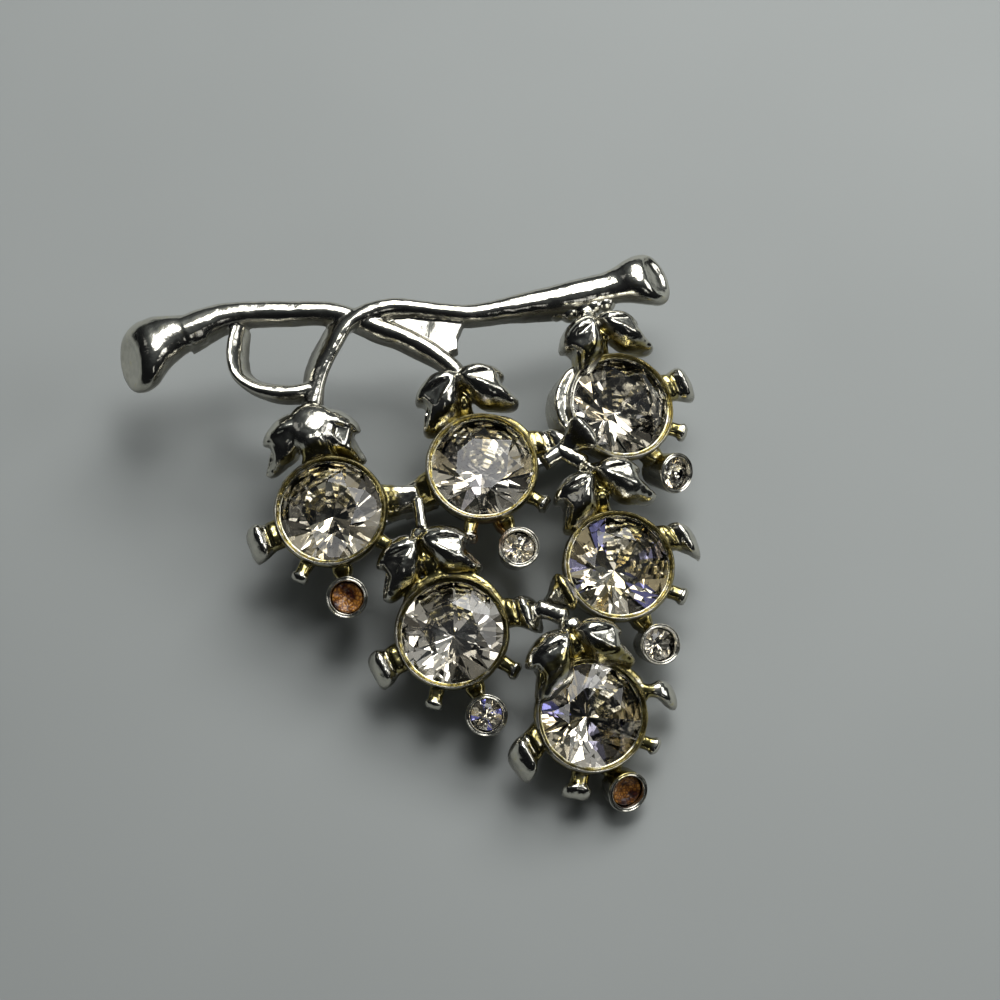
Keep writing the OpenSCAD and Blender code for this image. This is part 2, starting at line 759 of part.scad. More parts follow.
module pin_back() {
  color(steel)
    translate(-middle)
      on_bar() {
        translate([0, 0, bar_top - bar_t])
          linear_extrude(bar_t)
            hull() {
              translate([bar_ends[0] + bar_w / 2, 0])
                circle(d = bar_w, $fn = 48);
              translate([bar_ends[1] - bar_w / 2, 0])
                circle(d = bar_w, $fn = 48);
            }
        difference() {
          translate([hook_at - hook_long / 2, 0, stem_z])
            rotate([0, 90, 0])
              cylinder(r = hook_r, h = hook_long, $fn = 48);
          translate([hook_at - hook_long, 0, stem_z])
            rotate([0, 90, 0])
              cylinder(r = hook_bore, h = hook_long * 2, $fn = 48);
          translate([hook_at - hook_long, -2 * hook_r, stem_z - hook_mouth / 2])
            cube([hook_long * 2, 2 * hook_r, hook_mouth]);
        }
        translate([hinge_at - hinge_long / 2, -hinge_w / 2, 0])
          cube([hinge_long, hinge_w, bar_top - bar_t + joined_by]);
        translate([point_at, 0, stem_z])
          rotate([0, 90, 0])
            cylinder(d = stem_d, h = hinge_at - point_at - hinge_long / 3, $fn = 32);
        translate([point_at, 0, stem_z])
          rotate([0, -90, 0])
            cylinder(d1 = stem_d, d2 = point_d, h = point_long, $fn = 32);
      }
}

casting();
main_stone(1);  // main_stone_1
main_stone(2);  // main_stone_2
main_stone(3);  // main_stone_3
main_stone(4);  // main_stone_4
main_stone(5);  // main_stone_5
main_stone(6);  // main_stone_6
small_stone(2);  // small_stone_2
small_stone(3);  // small_stone_3
small_stone(4);  // small_stone_4
small_stone(5);  // small_stone_5
old_cement(1);  // old_cement_1
old_cement(6);  // old_cement_6
pin_back();
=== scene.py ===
import math

import bpy
import numpy as np
from mathutils import Matrix, Vector, noise


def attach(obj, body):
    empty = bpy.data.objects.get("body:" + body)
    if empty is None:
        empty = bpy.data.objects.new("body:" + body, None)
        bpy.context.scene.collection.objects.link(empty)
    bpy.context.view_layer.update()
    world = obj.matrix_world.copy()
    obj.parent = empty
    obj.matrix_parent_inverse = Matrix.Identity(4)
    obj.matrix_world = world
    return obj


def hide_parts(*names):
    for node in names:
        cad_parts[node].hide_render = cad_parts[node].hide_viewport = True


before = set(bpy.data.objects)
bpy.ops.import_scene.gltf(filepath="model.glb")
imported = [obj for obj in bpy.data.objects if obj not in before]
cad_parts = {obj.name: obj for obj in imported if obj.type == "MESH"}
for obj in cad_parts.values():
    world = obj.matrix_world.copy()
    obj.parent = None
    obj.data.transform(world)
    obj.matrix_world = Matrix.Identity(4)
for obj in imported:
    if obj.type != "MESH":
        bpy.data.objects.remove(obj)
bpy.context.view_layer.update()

# The table and the light
# The brooch lies on a matt pale grey table top. A window of four panes stands high behind it, with
# a second window at the right, a ceiling lamp, a lit wall and a door; the rest of the room is dark.

# The tables of the brooch are in millimetres and degrees; what is shown is in metres
mm = 0.001


def from_hex(code):
    """Linear colour of an sRGB hex value."""
    parts = [int(code[k:k + 2], 16) / 255 for k in (1, 3, 5)]
    return [c / 12.92 if c <= 0.04045 else ((c + 0.055) / 1.055) ** 2.4 for c in parts] + [1.0]


def add(tree, kind, inputs, **settings):
    """A shader node with its settings made and its inputs filled or linked."""
    made = tree.nodes.new("ShaderNode" + kind)
    for name, value in settings.items():
        setattr(made, name, value)
    for name, value in inputs.items():
        if isinstance(value, bpy.types.NodeSocket):
            tree.links.new(value, made.inputs[name])
        else:
            made.inputs[name].default_value = value
    return made


def new_material(name):
    material = bpy.data.materials.new(name)
    material.use_nodes = True
    material.node_tree.nodes.clear()
    return material, material.node_tree


def stops(ramp, *pairs):
    """Sets the stops of a colour ramp: place and grey value or colour."""
    elements = ramp.color_ramp.elements
    while len(elements) < len(pairs):
        elements.new(0.5)
    for element, (place, value) in zip(elements, pairs):
        element.position = place
        element.color = value if isinstance(value, list) else [value, value, value, 1]


table_mat, tree = new_material("matt grey laminate")
# A laminate top: even, matt, with a very fine leathery grain that only softens the light
place = add(tree, "TexCoord", {})
cloudy = add(tree, "TexNoise", {"Vector": place.outputs["Object"], "Scale": 18.0, "Detail": 3.0})
tone = add(tree, "ValToRGB", {"Fac": cloudy.outputs["Fac"]})
stops(tone, (0.3, from_hex("#a5a9a7")), (0.7, from_hex("#abafad")))
grain = add(tree, "TexNoise", {"Vector": place.outputs["Object"], "Scale": 3000.0, "Detail": 2.0})
raised = add(tree, "Bump", {"Height": grain.outputs["Fac"], "Strength": 0.15, "Distance": 0.00002})
surface = add(tree, "BsdfPrincipled", {
    "Base Color": tone.outputs["Color"], "Roughness": 0.75, "Normal": raised.outputs["Normal"],
})
add(tree, "OutputMaterial", {"Surface": surface.outputs["BSDF"]})

# The table's top lies 0.1 mm under the brooch, in metres
table_half, table_level = 1.5, -0.0001
table_corners = [(x * table_half, y * table_half, table_level)
                 for x, y in ((-1, -1), (1, -1), (1, 1), (-1, 1))]
table_mesh = bpy.data.meshes.new("table")
table_mesh.from_pydata(table_corners, [], [(0, 1, 2, 3)])
table_mesh.materials.append(table_mat)
table = bpy.data.objects.new("table", table_mesh)
bpy.context.scene.collection.objects.link(table)

# Light cards: bearing from the back towards the right and height over the table in degrees, then
# distance, width and length in metres, and strength in watts
cards = [
    # name, bearing, height, distance, width, length, strength
    ("window_pane_1", 7, 68, 0.30, 0.11, 0.11, 0.16),
    ("window_pane_2", 33, 66, 0.30, 0.11, 0.11, 0.16),
    ("window_pane_3", 8, 43, 0.30, 0.11, 0.11, 0.16),
    ("window_pane_4", 31, 42, 0.30, 0.11, 0.11, 0.16),
    ("right_window", 84, 38, 0.25, 0.13, 0.10, 0.085),
    ("left_wall", -70, 40, 0.50, 0.10, 0.20, 0.02),
    ("ceiling_lamp", -30, 72, 0.50, 0.06, 0.06, 0.035),
    ("door", 150, 40, 0.50, 0.06, 0.12, 0.02),
]


def put_card(name, bearing, height, distance, width, length, power):
    """Hangs a light card in the room, turned to the middle of the table."""
    around, up = math.radians(bearing), math.radians(height)
    out = Vector((math.sin(around) * math.cos(up), math.cos(around) * math.cos(up), math.sin(up)))
    lamp = bpy.data.lights.new(name, "AREA")
    lamp.shape = "RECTANGLE"
    lamp.size = width
    lamp.size_y = length
    lamp.energy = power
    card = bpy.data.objects.new(name, lamp)
    card.location = out * distance
    card.rotation_euler = (-out).to_track_quat("-Z", "Y").to_euler()
    bpy.context.scene.collection.objects.link(card)
    return card


for row in cards:
    put_card(*row)

# The room is dark and glows softly round the window
room = bpy.data.worlds.new("dim room")
room.use_nodes = True
tree = room.node_tree
tree.nodes.clear()
place = add(tree, "TexCoord", {})
window_way = (0.25, 0.55, 0.8)
towards = add(tree, "VectorMath", {0: place.outputs["Generated"], 1: window_way}, operation="DOT_PRODUCT")
shade = add(tree, "ValToRGB", {"Fac": towards.outputs["Value"]})
stops(shade, (0.0, from_hex("#17181a")), (0.5, from_hex("#2a2c2e")), (0.8, from_hex("#54585a")),
      (1.0, from_hex("#b4b8b8")))
sky = add(tree, "Background", {"Color": shade.outputs["Color"], "Strength": 1.0})
add(tree, "OutputWorld", {"Surface": sky.outputs["Background"]})
bpy.context.scene.world = room

# The view
# The photograph is taken from above and in front of the brooch with a phone's long lens.
camera = bpy.data.objects.new("camera", bpy.data.cameras.new("camera"))
camera.data.lens = 80
camera.data.sensor_width = 36
camera.data.clip_start = 0.01
rise = math.radians(67)
lens_away = 190
look_at = Vector((7.86, 2.48, 5.0)) * mm
camera.location = look_at + Vector((0, -math.cos(rise), math.sin(rise))) * lens_away * mm
camera.rotation_euler = (math.pi / 2 - rise, 0, 0)
bpy.context.scene.collection.objects.link(camera)
bpy.context.scene.camera = camera
bpy.context.scene.view_settings.view_transform = "Standard"

# The twigs
# Two vine twigs cross at the top and run down to the first two fruits, with one curl. They are
# cast in white metal with the fruits, the seams are rubbed down, and the whole is plated bright.

# The middle of the brooch in the tables' own measure
middle = (-0.26, 0.52, 0.0)

# The top line of each twig: place, then width, depth, and how far its underside leans aside
left_twig = [
    # x, y, z, width, depth, foot
    (-19.4, 16.2, 11.8, 3.3, 2.9, 0),
    (-18.0, 16.9, 11.8, 3.0, 2.7, 0),
    (-16.4, 17.6, 11.7, 2.6, 2.4, 0),
    (-14.4, 18.0, 11.6, 2.2, 2.1, 0),
    (-10.8, 18.2, 11.4, 2.0, 2.0, 0),
    (-7.5, 18.3, 11.2, 1.9, 1.9, 0),
    (-5.2, 17.9, 11.0, 1.8, 2.0, 0),
    (-3.0, 17.1, 10.7, 1.8, 2.0, -0.2),
    (-1.0, 16.4, 10.5, 1.7, 2.0, -0.2),
    (1.2, 15.3, 10.3, 1.7, 1.9, -0.2),
    (2.9, 14.1, 10.1, 1.7, 1.8, 0),
    (4.3, 12.6, 9.8, 1.6, 1.6, 0),
]
right_twig = [
    # x, y, z, width, depth, foot
    (17.0, 21.2, 10.5, 3.1, 3.0, 0),
    (15.0, 20.7, 10.5, 3.1, 2.9, 0),
    (13.2, 20.2, 10.5, 3.0, 2.8, 0),
    (11.4, 19.8, 10.5, 2.7, 2.6, 0),
    (9.3, 19.3, 10.5, 2.3, 2.3, 0),
    (7.6, 18.9, 10.6, 2.0, 2.1, 0),
    (5.0, 18.4, 10.6, 1.8, 2.0, 0),
    (2.4, 18.5, 10.8, 1.7, 2.0, 0),
    (0.3, 18.8, 10.9, 1.7, 2.0, 0),
    (-1.7, 18.8, 11.1, 1.8, 2.1, 0),
    (-3.7, 18.2, 11.2, 1.9, 2.3, 0),
    (-5.3, 17.0, 11.2, 1.9, 2.4, -1.0),
    (-6.2, 15.4, 10.9, 1.9, 2.4, -1.3),
    (-7.1, 13.6, 10.6, 1.8, 2.2, -1.2),
    (-7.8, 11.8, 10.3, 1.8, 2.0, -0.8),
    (-8.3, 9.8, 10.0, 1.8, 1.8, 0),
]
curl = [
    # x, y, z, width, depth, foot
    (-15.0, 17.2, 10.9, 1.4, 1.8, 0.6),
    (-15.4, 15.7, 10.9, 1.2, 2.0, 1.0),
    (-15.5, 14.1, 10.8, 1.2, 2.0, 1.1),
    (-15.0, 12.4, 10.6, 1.3, 2.0, 1.0),
    (-13.5, 11.3, 10.4, 1.4, 2.0, 0.7),
    (-11.6, 10.9, 10.3, 1.6, 2.0, 0.4),
    (-9.8, 11.0, 10.2, 1.6, 2.0, 0.2),
    (-8.2, 11.5, 10.1, 1.6, 1.8, 0),
]
# Web that fills the gap between the twigs where they part: its outline, and a lump on it
web_edge = [(-3.4, 17.3), (-1.0, 17.9), (1.6, 17.8), (3.7, 18.2), (4.4, 17.5), (3.9, 16.2), (4.0, 15.0),
            (3.2, 14.7), (1.2, 16.3), (-1.0, 16.8)]
web_top, web_back = 9.9, 8.5
web_lump = (2.4, 17.0, 9.5, 3.6, 1.0)
# The flared ends: where the neck is, the bearing, and their rings from the neck outwards
left_end_place, left_end_bearing = (-18.6, 16.7, 9.6), 198
left_end = [
    # along, lift, aside, half width, half height, lean
    (-0.8, 0.8, 0.3, 1.3, 1.15, 0),
    (0.2, 0.7, 0.2, 1.55, 1.4, 2),
    (1.2, 0.55, 0.15, 1.75, 1.6, 5),
    (2.3, 0.3, 0.15, 2.15, 1.95, 10),
    (3.3, 0.05, 0.3, 2.65, 2.3, 16),
    (4.1, -0.1, 0.6, 3.0, 2.55, 20),
    (4.9, -0.05, 0.85, 3.15, 2.6, 24),
    (5.5, 0.0, 1.0, 3.0, 2.45, 27),
    (5.95, 0.0, 1.05, 2.6, 2.1, 29),
    (6.05, 0.05, 1.0, 2.1, 1.6, 30),
    (5.95, 0.05, 1.0, 1.5, 1.1, 30),
    (5.9, 0.05, 1.0, 0.1, 0.1, 30),
]
right_end_place, right_end_bearing = (16.6, 21.1, 9.2), 15
right_end = [
    # along, lift, aside, half width, half height, lean
    (-0.6, -0.05, 0.0, 1.35, 1.25, 0),
    (1.0, 0.0, 0.0, 1.55, 1.4, 6),
    (1.9, 0.05, 0.0, 1.8, 1.6, 14),
    (2.7, 0.05, 0.0, 2.1, 1.9, 20),
    (3.5, -0.05, -0.05, 2.35, 2.15, 22),
    (4.2, -0.15, -0.1, 2.45, 2.2, 24),
    (4.7, -0.1, -0.1, 2.3, 2.0, 30),
    (4.8, 0.25, -0.1, 2.0, 1.7, 40),
    (4.45, 0.5, -0.1, 1.75, 1.45, 48),
    (4.25, 0.4, -0.1, 1.55, 1.25, 48),
    (4.2, 0.35, -0.1, 0.8, 0.6, 48),
    (4.2, 0.35, -0.1, 0.1, 0.1, 48),
]

# Half of a twig's rounded section from its top: share of half the width, share of the depth
twig_half = [(0.28, 0.02), (0.54, 0.08), (0.76, 0.19), (0.92, 0.34), (1.0, 0.52),
             (1.02, 0.72), (1.0, 0.9), (0.85, 1.0)]


def smooth_line(rows, steps):
    """Rows of numbers joined by a smooth curve through each of them."""
    rows = np.array(rows, float)
    last = len(rows) - 1
    line = []
    for i in range(last):
        a, b, c, d = (rows[min(max(k, 0), last)] for k in (i - 1, i, i + 1, i + 2))
        for t in np.arange(steps) / steps:
            line.append(0.5 * (2 * b + (c - a) * t + (2 * a - 5 * b + 4 * c - d) * t ** 2
                               + (3 * b - a - 3 * c + d) * t ** 3))
    return np.array(line + [rows[last]])


def loft(rings):
    """A closed form through rings of points, with a flat face on each end."""
    count, around = len(rings), len(rings[0])
    points = np.concatenate([np.asarray(ring, float) for ring in rings])
    sides = [[around * (count - 1) + k for k in range(around)], list(range(around))[::-1]]
    for i in range(count - 1):
        for j in range(around):
            a, b = i * around + j, i * around + (j + 1) % around
            sides.append([a, b, b + around, a + around])
    return points, sides


def twig_ring(row, ahead):
    """The section of a twig at one row of its table."""
    half_line = np.array(twig_half)
    profile = np.concatenate([[(0, 0)], half_line * (-1, 1), half_line[::-1]])
    side = np.array((ahead[1], -ahead[0]))
    width, depth, foot = row[3:]
    down = profile[:, 1] * depth
    across = profile[:, 0] * width / 2 - foot * profile[:, 1]
    return np.column_stack([row[:2] + np.outer(across, side), row[2] - down])


def twig(rows):
    """A twig along its top line."""
    line = smooth_line(rows, 6)
    rings = []
    for i, row in enumerate(line):
        ahead = line[min(i + 1, len(line) - 1), :2] - line[max(i - 1, 0), :2]
        rings.append(twig_ring(row, ahead / np.linalg.norm(ahead)))
    return loft(rings)


def flared_end(place, bearing, rows):
    """The swollen end of a twig, drawn over a shallow dish in its cut."""
    out = np.array((math.cos(math.radians(bearing)), math.sin(math.radians(bearing)), 0))
    side = np.array((-out[1], out[0], 0))
    up = np.array((0, 0, 1.0))
    turn = np.linspace(0, 2 * math.pi, 36, endpoint=False)
    rings = []
    for along, lift, aside, wide, high, lean in smooth_line(rows, 3):
        slope = up * math.cos(math.radians(lean)) - out * math.sin(math.radians(lean))
        spot = np.array(place) + out * along + up * lift + side * aside
        rings.append(spot + np.outer(np.sin(turn) * wide, side) + np.outer(np.cos(turn) * high, slope))
    return loft(rings)


def moved(form, matrix):
    """A form put in place by a matrix."""
    points, sides = form
    turned = np.array(matrix)[:3, :3]
    return points @ turned.T + np.array(matrix)[:3, 3], sides


def ball(x, y, z, across, tall):
    """A flattened ball of metal, for joints and knuckles."""
    around = 20
    rows = np.linspace(0.0, math.pi, 13)[1:-1]
    turn = np.linspace(0, 2 * math.pi, around, endpoint=False)
    rings = [np.column_stack([x + across / 2 * math.sin(r) * np.cos(turn),
                              y + across / 2 * math.sin(r) * np.sin(turn),
                              np.full(around, z - tall / 2 * math.cos(r))]) for r in rows]
    return loft(rings)


def gather(name, forms):
    """One mesh of many closed forms."""
    points, sides = [], []
    for form_points, form_sides in forms:
        first = len(points)
        points.extend(map(tuple, form_points))
        sides.extend([first + k for k in side] for side in form_sides)
    mesh = bpy.data.meshes.new(name)
    mesh.from_pydata(points, [], sides)
    return mesh


def pour(name, forms, grain, rubs):
    """Melts closed forms together on a grain in millimetres and rubs the seams smooth."""
    piece = bpy.data.objects.new(name, gather(name, forms))
    bpy.context.scene.collection.objects.link(piece)
    melt = piece.modifiers.new("melt", "REMESH")
    melt.mode = "VOXEL"
    melt.voxel_size = grain
    rub = piece.modifiers.new("rub", "SMOOTH")
    rub.factor = 0.5
    rub.iterations = rubs
    cast = bpy.data.meshes.new_from_object(piece.evaluated_get(bpy.context.evaluated_depsgraph_get()))
    piece.modifiers.clear()
    piece.data = cast
    return piece


def triples(items, what):
    """Three numbers for each point of a mesh, in rows."""
    flat = np.zeros(len(items) * 3, np.float32)
    items.foreach_get(what, flat)
    return flat.reshape(-1, 3).astype(float)


def places_of(mesh):
    return triples(mesh.vertices, "co")


def normals_of(mesh):
    return triples(mesh.vertex_normals, "vector")


def uneven_face(mesh, amount, size):
    """Hand-carved unevenness: pushes the points in and out by up to the amount, in patches of the size."""
    normals = normals_of(mesh)
    points = places_of(mesh)
    fine_share, fine_step = 0.4, 2.7
    push = [noise.noise(Vector(p) / size) + fine_share * noise.noise(Vector(p) * fine_step / size)
            for p in points]
    mesh.vertices.foreach_set("co", (points + normals * amount * np.array(push)[:, None]).ravel())
    mesh.update()


def steepness(mesh):
    """1 where the metal's face stands upright, falling to 0 where it looks up or down."""
    return np.clip(1 - np.abs(normals_of(mesh)[:, 2]) * 1.6, 0, 1)


def stain(mesh, name, amounts):
    """Writes a value from 0 to 1 on each point of a mesh."""
    layer = mesh.attributes.new(name, "FLOAT", "POINT")
    layer.data.foreach_set("value", np.clip(amounts, 0, 1).astype(np.float32))


def near(points, spot, reach):
    """1 at a spot, falling to 0 at its reach."""
    away = np.linalg.norm(points - np.array(spot), axis=1) / reach
    return np.clip(1 - away, 0, 1)


plate, tree = new_material("rhodium plate on white metal")
# Rhodium plate is a hard, bright, faintly warm white. It lies over a yellow flash of plate that
# shows where the rhodium is thin: in the recesses, on the cup rims and on the leaf necks. Old
# handling leaves it slightly hazed, and the sides of the casting keep the mould's fine grain. Its colour
# is darkened with painted shade on the steep sides, low down and in a ring just inside the cup rims.
# Amber glue has run over it at one spot.
place = add(tree, "TexCoord", {})
wash = add(tree, "Attribute", {}, attribute_name="wash")
grain_and_shade = add(tree, "Attribute", {}, attribute_name="grain_and_shade")
amber = add(tree, "Attribute", {}, attribute_name="amber")
blotch = add(tree, "TexNoise", {"Vector": place.outputs["Object"], "Scale": 1400.0, "Detail": 4.0,
                                "Roughness": 0.65})
patchy = add(tree, "Math", {0: blotch.outputs["Fac"], 1: 0.5}, operation="SUBTRACT")
uneven = add(tree, "Math", {0: patchy.outputs[0], 1: 2.2, 2: wash.outputs["Fac"]}, operation="MULTIPLY_ADD")
wash_ramp = add(tree, "ValToRGB", {"Fac": uneven.outputs[0]})
stops(wash_ramp, (0.3, 0.0), (0.75, 1.0))
warm = add(tree, "ValToRGB", {"Fac": blotch.outputs["Fac"]})
stops(warm, (0.3, from_hex("#7c7148")), (0.5, from_hex("#ada067")), (0.7, from_hex("#d2c998")))
white = add(tree, "ValToRGB", {"Fac": blotch.outputs["Fac"]})
stops(white, (0.3, from_hex("#c8c5b9")), (0.7, from_hex("#e3e0d4")))
plated = add(tree, "Mix", {0: wash_ramp.outputs["Color"], 6: white.outputs["Color"],
                           7: warm.outputs["Color"]}, data_type="RGBA")
# Painted shade: the plate's colour is darkened towards dark grey by the value written for the steep sides,
# the low parts and the ring inside the rims
painted_shade = add(tree, "Math", {0: grain_and_shade.outputs["Fac"], 1: 0.7}, operation="MULTIPLY")
shaded_plate = add(tree, "Mix", {0: painted_shade.outputs[0], 6: plated.outputs[2], 7: from_hex("#3c3a36")},
            data_type="RGBA")
glued = add(tree, "Mix", {0: amber.outputs["Fac"], 6: shaded_plate.outputs[2], 7: from_hex("#b4761c")},
            data_type="RGBA")
haze = add(tree, "TexNoise", {"Vector": place.outputs["Object"], "Scale": 500.0, "Detail": 5.0})
hazed = add(tree, "ValToRGB", {"Fac": haze.outputs["Fac"]})
stops(hazed, (0.35, 0.08), (0.75, 0.2))
rough = add(tree, "Math", {0: grain_and_shade.outputs["Fac"], 1: 0.26, 2: hazed.outputs["Color"]},
            operation="MULTIPLY_ADD")
skin = add(tree, "TexNoise", {"Vector": place.outputs["Object"], "Scale": 4000.0, "Detail": 3.0})
depth = add(tree, "Math", {0: grain_and_shade.outputs["Fac"], 1: 0.6, 2: 0.25}, operation="MULTIPLY_ADD")
raised = add(tree, "Bump", {"Height": skin.outputs["Fac"], "Strength": depth.outputs[0],
                            "Distance": 0.00005})
surface = add(tree, "BsdfPrincipled", {
    "Base Color": glued.outputs[2], "Metallic": 1.0, "Roughness": rough.outputs[0],
    "Normal": raised.outputs["Normal"],
})
add(tree, "OutputMaterial", {"Surface": surface.outputs["BSDF"]})


def finish_casting(piece, wash_at, grain_and_shade_at, amber_at):
    """Scales a casting to metres, plates it and puts it on the brooch."""
    stain(piece.data, "wash", wash_at)
    stain(piece.data, "grain_and_shade", grain_and_shade_at)
    stain(piece.data, "amber", amber_at)
    piece.data.transform(Matrix.Scale(mm, 4))
    piece.data.materials.clear()
    piece.data.materials.append(plate)
    piece.data.polygons.foreach_set("use_smooth", [True] * len(piece.data.polygons))
    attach(piece, "root")
    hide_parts("casting")


home = Matrix.Translation(-Vector(middle))
twig_forms = [twig(left_twig), twig(right_twig), twig(curl)]
twig_forms.append(flared_end(left_end_place, left_end_bearing, left_end))
twig_forms.append(flared_end(right_end_place, right_end_bearing, right_end))
twig_forms.append(loft([[(x, y, z) for x, y in web_edge[::-1]] for z in (web_back, web_top)]))
twig_forms.append(ball(*web_lump))
twigs = pour("twigs", [moved(form, home) for form in twig_forms], grain=0.11, rubs=4)
uneven_face(twigs.data, amount=0.06, size=1.8)
spots = places_of(twigs.data)

# The twigs are grainy and darkened with painted shade on their sides and low down, but for the flared ends
# beyond 18 mm
grain_shade_height, grain_shade_fade, ends_from = 10.1, 0.8, 18
low_down = np.clip((grain_shade_height - spots[:, 2]) / grain_shade_fade, 0, 1) * (np.abs(spots[:, 0]) < ends_from)
faint_wash = 0.1
finish_casting(twigs, np.full(len(spots), faint_wash), np.maximum(steepness(twigs.data), low_down),
               np.zeros(len(spots)))

# The fruits' settings
# Each fruit is an open cup for its stone, with finger tabs round it, two lobed leaves over it
# and a small tube beside it, all in the one casting and soldered to its neighbours at the tabs.

# Middle of each cup's rim, its lean to the right and to the front, its turn, and how deep the stone sits
fruits = [
    # x, y, z, right, front, turn, drop
    (-6.6, 0.5, 8.8, -2, 8, -5, 0.7),
    (6.1, 4.6, 8.7, 2, 6, -2, 0.8),
    (18.0, 10.15, 8.9, 16, 7, 5, 0.65),
    (3.6, -9.6, 6.9, -3, 12, 0, 0.95),
    (17.6, -3.7, 7.0, 8, 8, 3, 0.7),
    (15.2, -16.4, 5.63, 12, 14, 1, 0.65),
]
# Leaf pair: bearing and distance of the stem, height over the rim, tip to the front, width and
# height of the neck; then of its left and of its right leaf the length, breadth, swing, and the
# shift outwards and up
leaf_pairs = [
    # bearing, reach, lift, tip, neck, crest, left leaf, right leaf
    (108, 9.4, 0.2, 22, 2.7, 0.35, (1.04, 0.85, 2, 0.5, -0.4), (1.04, 0.88, -8, 0.4, -0.5)),
    (108, 8.7, 0.3, 0, 1.5, -0.6, (1.0, 1.0, 1, -0.1, 0.3), (1.0, 0.9, 11, -0.1, 0.1)),
    (104, 7.8, 0.4, 0, 1.6, -0.5, (0.9, 0.9, -16, 0.6, 0.7), (1.0, 0.72, 12, -0.2, 0.45)),
    (107, 9.3, 0.3, 4, 1.8, -0.4, (1.02, 0.97, 5, 0.25, -0.45), (1.0, 0.92, 4, -0.2, -0.4)),
    (101, 9.1, 0.3, 0, 1.5, -0.6, (0.92, 0.92, -6, 0.6, -0.5), (1.02, 0.87, 16, -0.5, -0.2)),
    (105, 8.2, 0.6, 0, 1.8, -0.2, (1.05, 0.97, -8, 0.7, -0.5), (1.02, 0.88, 10, -0.1, -0.5)),
]
# Small tube of each fruit: bearing and distance from the cup's middle, drop, lean outwards, length
tubes = [
    # bearing, reach, drop, out, long
    (286, 7.4, 1.0, 10, 3.4),
    (297, 7.5, 1.0, 6, 3.4),
    (312, 7.5, 1.2, 27, 3.2),
    (292, 7.4, 1.0, 10, 3.2),
    (297, 7.4, 1.0, 12, 3.2),
    (299, 7.0, 0.8, 24, 2.3),
]
# The shapes of the tabs, from the cup outwards: distance from its middle, width, top and thickness
wide_tab = [
    # distance, width, top, thickness
    (4.3, 2.6, -0.5, 1.4),
    (5.2, 2.5, -0.15, 1.4),
    (5.6, 2.5, -0.45, 1.3),
    (5.8, 2.7, -0.3, 1.4),
    (6.3, 3.1, 0.1, 1.7),
    (6.9, 3.1, -0.35, 1.8),
    (7.3, 2.7, -1.0, 1.7),
    (7.5, 1.8, -1.8, 1.2),
]
long_tab = [
    # distance, width, top, thickness
    (4.3, 2.6, -0.5, 1.4),
    (5.6, 2.4, -0.2, 1.4),
    (6.1, 2.4, -0.6, 1.3),
    (6.6, 2.6, -0.1, 1.6),
    (7.4, 2.7, 0.0, 1.7),
    (8.1, 2.6, -0.7, 1.7),
    (8.5, 2.0, -1.6, 1.4),
]
saddle_tab = [
    # distance, width, top, thickness
    (4.4, 3.0, -0.4, 2.0),
    (5.2, 2.8, -0.7, 2.0),
    (6.2, 2.6, -1.1, 2.0),
    (7.4, 2.4, -1.2, 2.0),
]
spoon_tab = [
    # distance, width, top, thickness
    (4.3, 2.0, -0.4, 1.4),
    (5.2, 1.3, -0.2, 1.3),
    (5.9, 1.3, -0.2, 1.2),
    (6.5, 2.2, -0.25, 1.5),
    (7.1, 2.5, -0.6, 1.7),
    (7.6, 2.1, -1.2, 1.6),
    (7.85, 1.1, -1.9, 1.0),
]
rim_kite = [
    # distance, width, top, thickness
    (3.7, 0.5, 0.5, 0.3),
    (4.5, 3.3, 1.0, 1.0),
    (5.4, 2.0, 0.1, 1.4),
    (6.2, 1.5, -0.8, 1.3),
    (8.2, 1.4, -1.2, 1.3),
]
outer_kite = [
    # distance, width, top, thickness
    (4.2, 0.7, -0.2, 0.6),
    (5.2, 3.5, 0.8, 1.4),
    (6.2, 1.6, -0.4, 1.5),
    (6.7, 1.0, -1.3, 1.2),
]
small_tab = [
    # distance, width, top, thickness
    (4.5, 1.3, -0.8, 1.0),
    (5.6, 1.15, -0.7, 0.9),
    (6.0, 1.6, -0.5, 1.2),
    (6.45, 1.2, -0.9, 0.9),
]
spade_tab = [
    # distance, width, top, thickness
    (4.5, 1.6, -0.8, 1.1),
    (5.5, 1.5, -0.7, 1.1),
    (6.0, 2.3, -0.5, 1.3),
    (6.6, 2.3, -0.9, 1.2),
    (6.9, 1.4, -1.4, 0.9),
]
# The tabs of each fruit from the right round by the left: bearing of the root, of the tip, shape, and
# the slant of the two that meet as a saddle
fruit_tabs = [
    [(18, 16, saddle_tab, 0.3), (206, 208, wide_tab), (250, 250, small_tab), (335, 335, small_tab)],
    [(33, 16, long_tab), (203, 205, saddle_tab, -0.3), (262, 262, small_tab), (333, 333, small_tab)],
    [(25, 20, wide_tab), (216, 216, rim_kite), (262, 262, small_tab), (342, 342, small_tab)],
    [(22, 10, wide_tab), (203, 207, wide_tab), (254, 255, small_tab), (330, 328, small_tab)],
    [(35, 16, wide_tab), (206, 206, outer_kite), (258, 258, small_tab), (336, 336, small_tab)],
    [(31, 13, spoon_tab), (203, 220, wide_tab), (264, 262, spade_tab), (337, 339, small_tab)],
]
